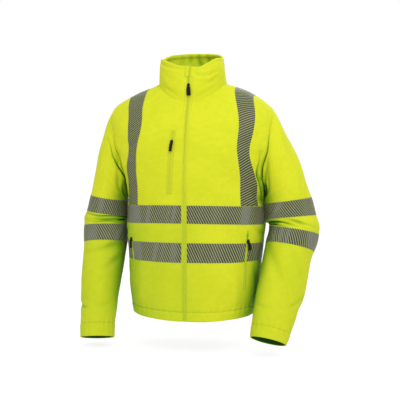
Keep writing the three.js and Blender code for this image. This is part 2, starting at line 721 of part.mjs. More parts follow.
addFronts();
addBack();
addBraces();
addCollar();
addSleeves();
addMainZip();
addHandPocketZips();
addChestZip();
addSliders();
addSideTabs();

export default jacket;
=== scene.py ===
import math

import bmesh
import bpy
import numpy as np
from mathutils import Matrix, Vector
from mathutils.bvhtree import BVHTree


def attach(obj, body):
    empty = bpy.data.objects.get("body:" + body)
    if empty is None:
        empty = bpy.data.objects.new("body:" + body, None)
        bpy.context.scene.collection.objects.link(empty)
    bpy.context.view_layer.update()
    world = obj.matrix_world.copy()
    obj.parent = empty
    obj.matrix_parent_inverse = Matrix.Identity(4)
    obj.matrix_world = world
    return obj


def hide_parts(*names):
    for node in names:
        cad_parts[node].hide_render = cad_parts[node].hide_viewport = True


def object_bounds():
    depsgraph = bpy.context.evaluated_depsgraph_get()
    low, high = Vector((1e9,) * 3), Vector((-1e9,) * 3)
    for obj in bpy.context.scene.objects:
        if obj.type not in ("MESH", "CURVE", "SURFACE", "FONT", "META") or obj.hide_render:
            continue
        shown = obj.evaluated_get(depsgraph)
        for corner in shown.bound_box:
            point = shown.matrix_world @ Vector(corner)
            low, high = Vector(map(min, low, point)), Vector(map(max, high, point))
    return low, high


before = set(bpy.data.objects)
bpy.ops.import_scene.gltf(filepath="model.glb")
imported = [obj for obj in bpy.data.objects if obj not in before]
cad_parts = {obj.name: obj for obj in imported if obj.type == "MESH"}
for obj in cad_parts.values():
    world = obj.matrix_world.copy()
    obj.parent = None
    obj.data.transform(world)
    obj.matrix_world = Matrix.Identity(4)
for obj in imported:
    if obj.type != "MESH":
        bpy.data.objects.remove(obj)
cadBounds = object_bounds()
scene = bpy.context.scene
print("frame loaded,", len(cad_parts), "nodes")

# The garment's own surface, from the tables that the solids are made from. Millimetres and degrees here;
# a mesh is turned to metres when it is made. +Z is up, the front faces -Y, the wearer's left is +X.

garment = {
    "clothThickness": 2.0,
    "hemThickness": 2.8,
    "collarThickness": 3.2,
    "collarRoll": 4.2,
    "seamGap": 0.06,
    "tapeWidth": 50.0,
    "tapeThickness": 0.3,
    "tapeLift": 0.75,
    "neckLevel": 4.0,
    "hemLevel": -645.0,
    "shoulderTipLevel": -68.0,
    "underarmLevel": -275.0,
    "armholeFrontAngle": 24.0,
    "armholeBackAngle": 23.0,
    "upperBandTop": -341.0,
    "lowerBandTop": -441.0,
    "zipHalfOpening": 7.0,
    "collarParting": 2.6,
    "mainSliderLevel": 0.45,
    "collarBackSway": 10.0,
    "armholeGap": 0.4,
    "armholeFade": 150.0,
}


def tableOf(columns, rows):
    return {name: np.array([row[i] for row in rows], float) for i, name in enumerate(columns.split())}


torsoRings = tableOf("level side front back zFront zBack square sway", [
    (-645, 177, 138, 121, -655, -654, 2.2, -1),
    (-590, 187, 141, 124, -597, -600, 2.3, 0),
    (-485, 191, 143, 123, -486, -489, 2.4, 3),
    (-385, 200, 144, 123, -379, -384, 2.4, 4),
    (-275, 202, 145, 130, -276, -280, 2.4, 2),
    (-190, 230, 142, 138, -208, -198, 2.45, -1),
    (-120, 239, 134, 139, -157, -134, 2.4, -4),
    (-68, 230, 122, 132, -118, -84, 2.3, -7),
    (-47, 205, 116, 126, -102, -64, 2.25, -8),
    (-29, 172, 109, 117, -86, -44, 2.2, -6),
    (-8, 127, 98, 100, -66, -15, 2.1, -5),
    (4, 97, 89, 84, -51, 12, 2.05, -6),
])
collarRings = tableOf("level side front back zFront zBack zSide square sway", [
    (0, 97, 89, 84, -50.4, 12.6, 4.6, 2.05, -6),
    (0.35, 94, 88, 84, -16, 43, 29, 2.1, -7),
    (0.7, 92, 83, 86, 18, 72, 54, 2.1, -8),
    (1, 89.5, 76, 84, 47, 97, 76, 2.1, -9),
])
sleeveColumns = "along outerX outerZ innerX innerZ forward depth tilt"
leftSleeveRings = tableOf(sleeveColumns, [
    (0, 228, -69, 202, -275, -2, 70, 0),
    (26, 244, -92, 204.5, -286, -1, 72, 0),
    (70, 267.5, -147, 206.5, -302, 0, 73, 0),
    (120, 297, -213, 205, -318, 0, 72, 0),
    (190, 331.5, -316, 204, -334, 0, 70, 0),
    (240, 345, -366, 206, -379, 2, 69, 3),
    (280, 352, -419, 220, -401, 8, 69, 10),
    (330, 342, -467, 211, -447, 19, 68, 15),
    (393, 329, -524, 197, -509, 36, 66, 18),
    (460, 315, -590, 187, -574, 57, 61, 20),
    (525, 296, -650, 181, -632, 79, 55, 21),
    (563, 285, -688, 179, -668, 92, 51, 22),
    (592, 273, -714, 177, -698, 102, 48, 22),
])
rightSleeveRings = tableOf(sleeveColumns, [
    (0, 233, -69, 201, -275, -2, 70, 0),
    (26, 246, -92, 202.5, -286, -2, 72, 0),
    (70, 270, -142, 204, -302, -2, 73, 0),
    (120, 288.5, -210, 205, -318, -2, 72, 0),
    (190, 312.5, -313, 205, -330, -2, 70, 0),
    (240, 323, -361, 205, -376, 0, 69, 2),
    (280, 330, -407, 205, -402, 4, 68, 8),
    (330, 329, -457, 203, -452, 13, 66, 12),
    (393, 329, -520, 209, -512, 26, 62, 15),
    (460, 329, -590, 217, -580, 43, 57, 16),
    (525, 327, -650, 221.5, -641, 59, 52, 16),
    (563, 323, -690, 223.5, -682, 69, 49, 16),
    (592, 320, -725, 223, -718, 77, 47, 16),
])

# Largest folds, as in the solids: two places (degrees, level), width and height.
torsoFolds = [
    (62, -196, 74, -262, 11, -6), (-62, -196, -74, -262, 11, -6),
    (44, -150, 62, -250, 14, -4), (-42, -160, -62, -262, 14, -5),
    (66, -300, 84, -330, 12, -4), (-66, -300, -84, -335, 12, -4),
    (40, -500, 44, -590, 22, 4), (-40, -500, -44, -590, 22, 4),
    (118, -190, 104, -300, 16, -5), (-118, -190, -104, -300, 16, -5),
    (180, -260, 180, -420, 40, -5),
]
leftSleeveFolds = [
    (350, 266, 470, 260, 9, -5), (130, 262, 230, 262, 15, 4), (66, 20, 40, 96, 14, -5),
    (40, 350, 110, 470, 15, -3), (130, 470, 210, 505, 14, -1.6), (250, 252, 330, 270, 10, -4),
]
rightSleeveFolds = [
    (350, 258, 460, 262, 9, -7), (140, 258, 220, 262, 14, 5), (66, 20, 44, 90, 13, -5),
    (20, 345, 120, 372, 12, -4), (120, 500, 200, 520, 12, -3), (250, 252, 330, 270, 10, -4),
]
degreeLength = {"torso": 2.9, "sleeve": 1.2, "collar": 1.6}
# depth scales every crease's trough; dark scales the painted shade along it.
creaseStrength = {"depth": 1.25, "dark": 1.35}

# Creases, listed: a path of (degrees, level), the trough's width and depth, how much of a lip it throws
# up on its left, and how much painted shade turns it greener (dark). Uneven on purpose, like cloth that has been worn.
def crease(width, depth, lip, dark, path):
    return {"path": path, "width": width, "depth": depth, "lip": lip, "dark": dark}


torsoCreases = [
    crease(2.4, 2.2, 0.5, 1.0, [(53, -406), (53.2, -420), (53, -438)]),
    crease(5, 4.4, 0.7, 0.6, [(61, -190), (62.5, -236), (67, -262), (75, -288), (83, -330)]),
    crease(7, 3.5, -0.5, 0.4, [(-64, -176), (-69, -208), (-75, -240), (-82, -266)]),
    crease(13, 2.6, 0.5, 0.0, [(50, -120), (56, -165), (59, -215)]),
    crease(12, 1.8, -0.5, 0.0, [(38, -190), (47, -232), (62, -280)]),
    crease(12, 2.4, -0.5, 0.0, [(-49, -128), (-54, -170), (-57, -222)]),
    crease(12, 1.9, 0.5, 0.0, [(-35, -205), (-46, -246), (-60, -296)]),
    crease(8, 2.0, 0.6, 0.1, [(58, -300), (70, -318), (86, -326)]),
    crease(8, 2.2, -0.6, 0.1, [(-56, -304), (-70, -322), (-86, -338)]),
    crease(9, 1.8, 0.5, 0.1, [(60, -395), (72, -412), (88, -424)]),
    crease(9, 1.8, -0.5, 0.1, [(-60, -398), (-73, -418), (-88, -428)]),
    crease(13, 1.5, 0.5, 0.0, [(34, -512), (46, -536), (52, -576)]),
    crease(13, 1.6, -0.5, 0.0, [(-30, -506), (-42, -534), (-46, -580)]),
    crease(10, 2.2, 0.5, 0.1, [(66, -500), (74, -545), (72, -600)]),
    crease(10, 2.2, -0.5, 0.1, [(-66, -506), (-75, -548), (-74, -604)]),
    crease(12, 1.4, 0.4, 0.0, [(12, -70), (20, -96), (31, -118)]),
    crease(12, 1.4, -0.4, 0.0, [(-13, -72), (-22, -98), (-34, -114)]),
    crease(15, 1.0, 0.5, 0.0, [(9, -210), (13, -262), (11, -318)]),
    crease(14, 1.2, 0.5, 0.0, [(-22, -318), (-24, -352), (-21, -398)]),
    crease(15, 1.1, 0.5, 0.0, [(24, -520), (20, -560), (23, -606)]),
    crease(9, 4.2, 0.5, 0.3, [(116, -150), (112, -205), (104, -262), (96, -290)]),
    crease(9, 4.0, -0.5, 0.3, [(-114, -158), (-111, -206), (-104, -258), (-97, -286)]),
    crease(13, 2.6, -0.5, 0.0, [(134, -176), (126, -232), (112, -296)]),
    crease(13, 2.4, 0.5, 0.0, [(-136, -170), (-128, -226), (-113, -300)]),
    crease(12, 2.2, 0.6, 0.0, [(150, -400), (172, -412), (196, -404), (214, -416)]),
    crease(12, 1.8, -0.5, 0.0, [(140, -458), (158, -470), (178, -464)]),
    crease(14, 1.8, 0.5, 0.0, [(150, -60), (166, -92), (182, -98), (204, -70)]),
    crease(9, 2.2, 0.5, 0.1, [(98, -380), (112, -400), (126, -404)]),
    crease(9, 2.2, -0.5, 0.1, [(-98, -384), (-111, -406), (-128, -408)]),
    crease(12, 2.0, 0.5, 0.0, [(104, -520), (110, -560), (107, -610)]),
    crease(12, 2.0, 0.5, 0.0, [(-104, -516), (-111, -560), (-108, -606)]),
]
leftSleeveCreases = [
    crease(3.6, 3.4, 0.6, 0.85, [(126, 4), (104, 3), (84, 4), (64, 5), (44, 9), (24, 20)]),
    crease(7, 2.0, 0.4, 0.35, [(40, 6), (26, 14), (16, 34), (8, 80), (4, 130)]),
    crease(8, 4.6, 0.6, 0.4, [(64, 26), (48, 36), (34, 56), (22, 96)]),
    crease(9, 3.4, 0.5, 0.3, [(30, 30), (24, 80), (14, 130)]),
    crease(10, 3.2, 0.5, 0.3, [(352, 20), (348, 70), (344, 120)]),
    crease(9, 4.2, -0.5, 0.3, [(300, 16), (306, 62), (318, 116)]),
    crease(3.4, 3.4, 0.9, 0.4, [(-12, 246), (15, 257), (40, 255), (62, 257), (86, 265), (112, 273)]),
    crease(3.6, 3.0, -0.8, 0.42, [(0, 268), (22, 268), (57, 274), (80, 277)]),
    crease(4, 2.8, 0.8, 0.25, [(70, 243), (98, 252), (124, 262), (156, 268)]),
    crease(8, 2.4, 0.5, 0.2, [(0, 232), (24, 222), (48, 228)]),
    crease(9, 1.2, 0.5, 0.0, [(60, 196), (84, 204), (112, 200)]),
    crease(12, 2.0, 0.5, 0.05, [(100, 352), (130, 385), (152, 424)]),
    crease(13, 1.8, -0.5, 0.0, [(50, 362), (74, 398), (90, 452)]),
    crease(6, 1.3, 0.6, 0.15, [(130, 500), (146, 490), (166, 472), (190, 452)]),
    crease(9, 1.6, -0.5, 0.05, [(30, 500), (62, 514), (90, 510)]),
    crease(8, 3.6, 0.6, 0.3, [(230, 246), (262, 254), (300, 250), (336, 262)]),
    crease(8, 2.8, -0.6, 0.2, [(220, 276), (256, 284), (290, 278)]),
    crease(12, 2.4, 0.5, 0.0, [(240, 380), (262, 412), (270, 460)]),
    crease(14, 1.8, 0.5, 0.0, [(200, 120), (214, 160), (220, 205)]),
    crease(14, 1.4, 0.5, 0.0, [(150, 24), (158, 60), (160, 104)]),
    crease(13, -4.5, 0.0, 0.1, [(8, 110), (12, 160), (12, 205), (10, 250), (8, 300), (8, 340)]),
]
rightSleeveCreases = [
    crease(5, 4.2, 0.8, 0.45, [(124, 40), (104, 33), (83, 32), (60, 26), (38, 12), (22, 4)]),
    crease(4.6, 3.0, 0.9, 0.6, [(74, 33), (58, 27), (42, 17), (30, 8), (20, -2)]),
    crease(6, 1.6, 0.5, 0.1, [(140, 64), (128, 50), (112, 38)]),
    crease(9, 3.2, 0.5, 0.15, [(34, 34), (22, 84), (8, 134)]),
    crease(10, 3.2, 0.5, 0.3, [(350, 24), (346, 72), (342, 118)]),
    crease(9, 4.2, -0.5, 0.3, [(302, 18), (308, 66), (320, 118)]),
    crease(3.4, 3.6, -0.9, 0.45, [(158, 248), (132, 246), (89, 251), (56, 245), (16, 243), (-18, 242)]),
    crease(4.4, 2.8, 0.8, 0.2, [(40, 268), (70, 264), (104, 270), (140, 264)]),
    crease(4, 3.0, 0.8, 0.25, [(-10, 262), (12, 258), (34, 262)]),
    crease(10, 3.2, 0.6, 0.06, [(4, 336), (42, 342), (74, 357), (109, 364)]),
    crease(10, 2.8, -0.5, 0.06, [(10, 372), (40, 392), (66, 418)]),
    crease(12, 1.6, 0.5, 0.0, [(110, 380), (134, 404), (150, 440)]),
    crease(12, 1.8, 0.5, 0.0, [(60, 440), (84, 462), (96, 500)]),
    crease(5, 2.0, 0.6, 0.25, [(106, 522), (132, 519), (160, 509), (188, 500)]),
    crease(9, 1.6, -0.5, 0.05, [(30, 508), (60, 520), (88, 516)]),
    crease(8, 3.6, 0.6, 0.3, [(228, 250), (262, 256), (300, 250), (338, 264)]),
    crease(8, 2.8, -0.6, 0.2, [(222, 280), (258, 286), (292, 280)]),
    crease(12, 2.4, 0.5, 0.0, [(238, 384), (258, 418), (268, 466)]),
    crease(14, 1.8, 0.5, 0.0, [(202, 124), (216, 166), (222, 210)]),
    crease(14, 1.4, 0.5, 0.0, [(150, 30), (156, 66), (158, 110)]),
]
collarCreases = [
    crease(6, 3.0, -0.8, 0.25, [(6, 92), (10, 85), (19, 74), (38, 62), (62, 60)]),
    crease(5, 1.8, 0.6, 0.15, [(-10, 96), (-34, 88), (-62, 86), (-88, 90)]),
    crease(9, 1.4, 0.5, 0.0, [(20, 40), (38, 34), (60, 40)]),
    crease(10, 1.4, 0.5, 0.0, [(-16, 62), (-34, 52), (-58, 58)]),
    crease(7, 1.4, 0.5, 0.05, [(12, 6), (30, 14), (52, 10)]),
    crease(7, 1.4, 0.5, 0.05, [(-14, 8), (-34, 16), (-56, 11)]),
    crease(8, -2.6, 0.5, 0.25, [(152, 112), (156, 84), (153, 52)]),
    crease(8, -3.0, 0.5, 0.35, [(171, 112), (174, 78), (170, 40)]),
    crease(8, -2.6, 0.5, 0.25, [(192, 112), (189, 86), (192, 60)]),
    crease(9, -2.2, 0.5, 0.1, [(208, 112), (206, 80), (209, 46)]),
    crease(10, 1.6, 0.5, 0.0, [(98, 60), (122, 50), (146, 58)]),
    crease(10, 1.6, 0.5, 0.0, [(-98, 56), (-122, 48), (-146, 56)]),
]

# How stitched edges and seams pull the cloth in, in millimetres, and how much painted shade darkens the stitched
# groove.
needlework = {
    "seamDip": 0.7,
    "neckDip": 0.1,
    "neckStep": 0.12,
    "seamReach": 2.8,
    "hemStitchRise": 23.5,
    "cuffStitchRise": 29.0,
    "grooveDepth": 1.2,
    "grooveWidth": 1.7,
    "turnUpSwell": 1.1,
    "groovePaintedShade": 0.1,
    "puckerDepth": 0.9,
    "puckerReach": 12.0,
    "puckerLength": 17.0,
}

# Cloth is never even: a few long waves run through all pieces, the same on both sides of a seam.
unevenness = {"count": 22, "shortest": 38.0, "longest": 190.0, "height": 0.5, "seed": 11}


def spline(xs, ys):
    n = len(xs)
    bend, scratch = np.zeros(n), np.zeros(n)
    for i in range(1, n - 1):
        left = (xs[i] - xs[i - 1]) / (xs[i + 1] - xs[i - 1])
        pivot = left * bend[i - 1] + 2
        rise = (ys[i + 1] - ys[i]) / (xs[i + 1] - xs[i]) - (ys[i] - ys[i - 1]) / (xs[i] - xs[i - 1])
        bend[i] = (left - 1) / pivot
        scratch[i] = (6 * rise / (xs[i + 1] - xs[i - 1]) - left * scratch[i - 1]) / pivot
    bend[n - 1] = 0
    for i in range(n - 2, -1, -1):
        bend[i] = bend[i] * bend[i + 1] + scratch[i]

    def at(x):
        x = np.asarray(x, float)
        i = np.searchsorted(xs[1:-1], x)
        span = xs[i + 1] - xs[i]
        a, b = (xs[i + 1] - x) / span, (x - xs[i]) / span
        bent = (a ** 3 - a) * bend[i] + (b ** 3 - b) * bend[i + 1]
        return a * ys[i] + b * ys[i + 1] + bent * span ** 2 / 6

    return at


def splines(table, key):
    return {name: spline(table[key], values) for name, values in table.items() if name != key}


torso = splines(torsoRings, "level")
collar = splines(collarRings, "level")


def smoothStep(low, high, x):
    share = np.clip((x - low) / (high - low), 0, 1)
    return share * share * (3 - 2 * share)


def bell(x, width):
    return np.exp(-(x / width) ** 2)


def unit(v):
    return v / np.maximum(np.linalg.norm(v, axis=-1, keepdims=True), 1e-9)


def ringPoint(rings, angle, level, zSide, backRise=2.0):
    rounding = 2 / rings["square"](level)
    s, c = np.sin(angle), np.cos(angle)
    inFront = c > 0
    reach = np.where(inFront, rings["front"](level), rings["back"](level))
    zMiddle = np.where(inFront, rings["zFront"](level), rings["zBack"](level))
    x = rings["side"](level) * np.sign(s) * np.abs(s) ** rounding
    x = x + rings["sway"](level) * np.where(inFront, s * s, 1.0)
    y = -reach * np.sign(c) * np.abs(c) ** rounding
    z = zSide + (zMiddle - zSide) * np.abs(c) ** np.where(inFront, 2.0, backRise)
    return np.stack(np.broadcast_arrays(x, y, z), -1)


def sampleOf(surface, u, v, du, dv):
    p = surface(u, v)
    alongU = surface(u + du, v) - surface(u - du, v)
    alongV = surface(u, v + dv) - surface(u, v - dv)
    return p, unit(np.cross(alongU, alongV))


def foldLift(folds, perDegree, angle, level):
    lift = 0.0
    for angleA, levelA, angleB, levelB, width, height in folds:
        alongX, alongY = (angleB - angleA) * perDegree, levelB - levelA
        length = math.hypot(alongX, alongY)
        for turn in (-360, 0, 360):
            x = (np.degrees(angle) + turn - angleA) * perDegree
            y = level - levelA
            along = (x * alongX + y * alongY) / length
            across = (x * alongY - y * alongX) / length
            past = np.maximum(0, np.maximum(-along, along - length)) / (width * 1.4)
            lift = lift + height * np.exp(-(across / width) ** 2 - past ** 2)
    return lift


# Gives how far each place is lifted and how much painted shade darkens it.
def creaseLift(creases, perDegree, angle, level):
    angle, level = np.broadcast_arrays(np.asarray(angle, float), np.asarray(level, float))
    lift, dark = np.zeros(angle.shape), np.zeros(angle.shape)
    steps = 12
    for crease in creases:
        knots = np.arange(len(crease["path"]), dtype=float)
        line = np.linspace(0, knots[-1], steps + 1)
        pathX = spline(knots, np.array([p[0] for p in crease["path"]], float) * perDegree)(line)
        pathY = spline(knots, np.array([p[1] for p in crease["path"]], float))(line)
        width = crease["width"]
        middle = np.degrees(angle) * perDegree
        turns = np.round(((pathX.min() + pathX.max()) / 2 - middle) / (360 * perDegree))
        x = middle + turns * 360 * perDegree
        near = (x > pathX.min() - 5 * width) & (x < pathX.max() + 5 * width)
        near &= (level > pathY.min() - 5 * width) & (level < pathY.max() + 5 * width)
        if not near.any():
            continue
        px, py = x[near], level[near]
        best = np.full(px.shape, 1e9)
        side, share = np.zeros(px.shape), np.zeros(px.shape)
        for k in range(steps):
            ax, ay = pathX[k], pathY[k]
            bx, by = pathX[k + 1] - ax, pathY[k + 1] - ay
            t = np.clip(((px - ax) * bx + (py - ay) * by) / (bx * bx + by * by), 0, 1)
            dx, dy = px - ax - t * bx, py - ay - t * by
            distance = np.hypot(dx, dy)
            closer = distance < best
            best = np.where(closer, distance, best)
            side = np.where(closer, np.sign(bx * dy - by * dx), side)
            share = np.where(closer, (k + t) / steps, share)
        taper = np.sin(np.pi * share) ** 0.7 * (0.85 + 0.15 * np.sin(9 * share + width))
        across = best * side / width
        wide = 0.75 + 0.25 * taper
        trough = -np.exp(-(across / wide) ** 2)
        lip = crease["lip"]
        lips = abs(lip) * np.exp(-((across - 1.9 * np.sign(lip)) / 1.1) ** 2)
        lips += 0.3 * abs(lip) * np.exp(-((across + 2.1 * np.sign(lip)) / 1.2) ** 2)
        lift[near] += creaseStrength["depth"] * crease["depth"] * taper * (trough + lips)
        # painted shade along the crease's trough
        dark[near] += creaseStrength["dark"] * crease["dark"] * taper * np.exp(-(across / 0.75) ** 2)
    return lift, dark


def makeWaves():
    chance = np.random.RandomState(unevenness["seed"])
    waves = []
    for _ in range(unevenness["count"]):
        length = chance.uniform(unevenness["shortest"], unevenness["longest"])
        direction = chance.normal(size=3)
        direction /= np.linalg.norm(direction)
        height = unevenness["height"] * (length / unevenness["longest"]) ** 0.7
        waves.append((direction * 2 * math.pi / length, chance.uniform(0, 2 * math.pi), height))
    return waves


waves = makeWaves()


def wavesAt(p):
    lift = 0.0
    for k, phase, height in waves:
        lift = lift + height * np.sin(p @ k + phase)
    return lift


# Little gathers along a stitched line.
def puckers(distance, around):
    wave = np.sin(2 * math.pi * around / needlework["puckerLength"] + 1.7 * np.sin(around / 41.0))
    return needlework["puckerDepth"] * wave * bell(distance, needlework["puckerReach"])


def plainTorso(angle, level):
    return ringPoint(torso, angle, level, level)


def foldedTorso(angle, level):
    p, n = sampleOf(plainTorso, angle, level, 0.01, 1.0)
    return p + n * foldLift(torsoFolds, degreeLength["torso"], angle, level)[..., None]


def armholePull(level, opening):
    middle = (garment["shoulderTipLevel"] + garment["underarmLevel"]) / 2
    reach = (garment["shoulderTipLevel"] - garment["underarmLevel"]) / 2
    share = np.clip((level - middle) / reach, -1, 1)
    return np.radians(opening) * np.sqrt(1 - share ** 2)


# The point, the plain normal and the painted shade (darkness) of the cloth at an angle and a level.
def torsoSkin(angle, level):
    angle, level = np.broadcast_arrays(np.asarray(angle, float), np.asarray(level, float))
    p, n = sampleOf(foldedTorso, angle, level, 0.01, 1.0)
    lift, dark = creaseLift(torsoCreases, degreeLength["torso"], angle, level)
    lift = lift + wavesAt(p)
    around = np.arccos(np.clip(np.cos(angle), -1, 1))
    radius = (torso["side"](level) + torso["front"](level)) / 2
    toFront = (math.pi / 2 - armholePull(level, garment["armholeFrontAngle"]) - around) * radius
    toBack = (around - math.pi / 2 - armholePull(level, garment["armholeBackAngle"])) * radius
    toSeam = np.maximum(np.maximum(toFront, toBack), 0)
    lift = lift - needlework["seamDip"] * bell(toSeam, needlework["seamReach"])
    lift = lift - needlework["neckDip"] * bell(level - garment["neckLevel"], needlework["seamReach"])
    toStitch = level - garment["hemLevel"] - needlework["hemStitchRise"]
    lift = lift - needlework["grooveDepth"] * bell(toStitch, needlework["grooveWidth"])
    lift = lift + needlework["turnUpSwell"] * (1 - smoothStep(-3, 3, toStitch))
    lift = lift + puckers(toStitch, angle * radius)
    # painted shade along the hem's stitched groove
    dark = dark + needlework["groovePaintedShade"] * bell(toStitch - 1.0, 2.4)
    x = np.abs(p[..., 0])
    nearFront = np.where(np.cos(angle) > 0, 1.0, 0.0)
    lift = lift - nearFront * 0.35 * bell(x - garment["zipHalfOpening"] - 3.4, 1.2)
    return p + n * lift[..., None], n, dark


def parting(level):
    apart = (level - garment["mainSliderLevel"]) / (1 - garment["mainSliderLevel"])
    return garment["collarParting"] * np.maximum(0, apart)


# How the collar's top edge rises and dips on its way round, in degrees and millimetres.
collarRim = [(-180, 0), (-150, 1), (-124, 2.5), (-100, -1), (-84, -3), (-60, 0), (-35, 0.5), (-12, -1), (0, 0),
             (7, -2.5),
             (15, -5), (27, -2.5), (42, 1), (64, 1), (84, -3), (102, -1), (126, 2.5), (152, 1), (180, 0)]
rimRise = spline(np.array([r[0] for r in collarRim], float), np.array([r[1] for r in collarRim], float))


def plainCollar(angle, level):
    p = ringPoint(collar, angle, level, collar["zSide"](level), 1.3 + 0.7 * (1 - level))
    turned = (np.degrees(angle) + 180) % 360 - 180
    p[..., 2] += rimRise(turned) * smoothStep(0.45, 1.0, level)
    p[..., 0] -= garment["collarBackSway"] * level * np.maximum(0, -np.cos(angle)) ** 2
    return p


def collarSkin(angle, level):
    angle, level = np.broadcast_arrays(np.asarray(angle, float), np.asarray(level, float))
    p, n = sampleOf(plainCollar, angle, level, 0.01, 0.01)
    lift, dark = creaseLift(collarCreases, degreeLength["collar"], angle, level * 100)
    lift = lift + wavesAt(p)
    lift = lift + needlework["neckStep"] * (1 - smoothStep(0.0, 0.05, level))
    x = np.abs(p[..., 0]) - parting(level)
    nearFront = np.where(np.cos(angle) > 0, 1.0, 0.0)
    lift = lift - nearFront * 0.5 * bell(x - garment["zipHalfOpening"] - 3.4, 1.2)
    lift = lift - 0.5 * bell((level - 0.93) * 100, 1.4)
    return p + n * lift[..., None], n, dark


def angleAtX(rings, x, level):
    share = np.minimum(1, np.abs(x) / rings["side"](level))
    return np.sign(x) * np.arcsin(share ** (rings["square"](level) / 2))


def armholePlace(turn):
    middle = (garment["shoulderTipLevel"] + garment["underarmLevel"]) / 2
    reach = (garment["shoulderTipLevel"] - garment["underarmLevel"]) / 2
    opening = np.where(np.sin(turn) > 0, garment["armholeFrontAngle"], garment["armholeBackAngle"])
    return math.pi / 2 - np.radians(opening) * np.sin(turn), middle - reach * np.cos(turn)


def sleeveSkinOf(table, folds, creases, side):
    rings = splines(table, "along")

    def ring(turn, along):
        turn, along = np.broadcast_arrays(turn, along)
        outer = np.stack([rings["outerX"](along), 0 * along, rings["outerZ"](along)], -1)
        inner = np.stack([rings["innerX"](along), 0 * along, rings["innerZ"](along)], -1)
        tilt = np.radians(rings["tilt"](along))
        ahead = np.stack([0 * along, -np.cos(tilt), np.sin(tilt)], -1)
        p = (outer + inner) / 2 - (outer - inner) * (np.cos(turn) / 2)[..., None]
        p = p + ahead * (rings["depth"](along) * np.sin(turn))[..., None]
        p[..., 1] -= rings["forward"](along)
        return p

    def plain(turn, along):
        angle, level = armholePlace(turn)
        hole = torsoSkin(side * angle, level)[0]
        hole[..., 0] *= side
        fade = 1 - smoothStep(0, garment["armholeFade"], along)
        p = ring(turn, along) + (hole - ring(turn, np.zeros_like(turn))) * fade[..., None]
        p[..., 0] += garment["armholeGap"]
        return p

    def folded(turn, along):
        p, n = sampleOf(plain, turn, along, -0.02, 1.0)
        share = np.clip(along / 24, 0, 1)
        return p + n * (share * foldLift(folds, degreeLength["sleeve"], turn, along))[..., None]

    length = table["along"][-1]

    def skin(turn, along):
        turn, along = np.asarray(turn, float), np.asarray(along, float)
        p, n = sampleOf(folded, turn, along, -0.02, 1.0)
        lift, dark = creaseLift(creases, degreeLength["sleeve"], turn, along)
        share = np.clip(along / 24, 0, 1)
        mirrored = p * np.array([side, 1, 1])
        lift = (lift + wavesAt(mirrored)) * share
        away = np.arccos(np.clip(np.cos(turn), -1, 1)) * 66
        lift = lift - needlework["seamDip"] * bell(away, needlework["seamReach"])
        lift = lift - needlework["seamDip"] * bell(along, needlework["seamReach"]) * 0.6
        toStitch = length - needlework["cuffStitchRise"] - along
        lift = lift - needlework["grooveDepth"] * bell(toStitch, needlework["grooveWidth"])
        lift = lift + needlework["turnUpSwell"] * (1 - smoothStep(-3, 3, toStitch))
        lift = lift + puckers(toStitch, turn * 52)
        # painted shade along the cuff's stitched groove, half as strong
        dark = dark + needlework["groovePaintedShade"] * 0.5 * bell(toStitch - 1.0, 2.4)
        p = p + n * lift[..., None]
        flip = np.array([side, 1, 1])
        return p * flip, n * flip, dark

    return skin


sides = [
    {"name": "left", "side": 1, "skin": sleeveSkinOf(leftSleeveRings, leftSleeveFolds, leftSleeveCreases, 1)},
    {"name": "right", "side": -1, "skin": sleeveSkinOf(rightSleeveRings, rightSleeveFolds, rightSleeveCreases, -1)},
]


# Nodes and materials

def addNode(tree, kind, values=None, **settings):
    node = tree.nodes.new(kind)
    for key, value in settings.items():
        setattr(node, key, value)
    for key, value in (values or {}).items():
        socket = node.inputs[key]
        if isinstance(value, bpy.types.NodeSocket):
            tree.links.new(value, socket)
        else:
            socket.default_value = value
    return node


def linear(hexColour, alpha=1.0):
    channels = [int(hexColour[i:i + 2], 16) / 255 for i in (1, 3, 5)]
    return tuple(c / 12.92 if c <= 0.04045 else ((c + 0.055) / 1.055) ** 2.4 for c in channels) + (alpha,)


def newMaterial(name, build):
    material = bpy.data.materials.new(name)
    material.use_nodes = True
    tree = material.node_tree
    tree.nodes.clear()
    shader = build(tree)
    addNode(tree, "ShaderNodeOutputMaterial", {"Surface": shader.outputs[0]})
    return material


def mixColours(tree, factor, first, second):
    node = addNode(tree, "ShaderNodeMix", data_type="RGBA")
    for socket, value in ((node.inputs[0], factor), (node.inputs[6], first), (node.inputs[7], second)):
        if isinstance(value, bpy.types.NodeSocket):
            tree.links.new(value, socket)
        else:
            socket.default_value = value
    return node.outputs[2]


def mathOf(tree, operation, first, second=0.0):
    return addNode(tree, "ShaderNodeMath", {0: first, 1: second}, operation=operation).outputs[0]


def rangeOf(tree, value, low, high, toLow=0.0, toHigh=1.0, smooth=True):
    node = addNode(tree, "ShaderNodeMapRange", {"Value": value, "From Min": low, "From Max": high,
                                                "To Min": toLow, "To Max": toHigh})
    node.interpolation_type = "SMOOTHSTEP" if smooth else "LINEAR"
    return node.outputs["Result"]


# Softshell: polyester weave dyed fluorescent yellow, bonded to a knit. Matt and even, a little fuzzy against the
# light. Painted shade: where the baked shade attribute says little light reaches it, the colour is painted green and
# darker.
softshell = {
    "lit": "#b9c01b",
    "litSecond": "#c2c620",
    "shaded": "#79a016",
    "deepShade": "#185006",
    "threadSpacing": 0.0011,      # the real one is about 0.4 mm, drawn coarser so that it shows
    "mottle": 0.016,
    "roughness": 0.78,
    "sheen": 0.04,
}


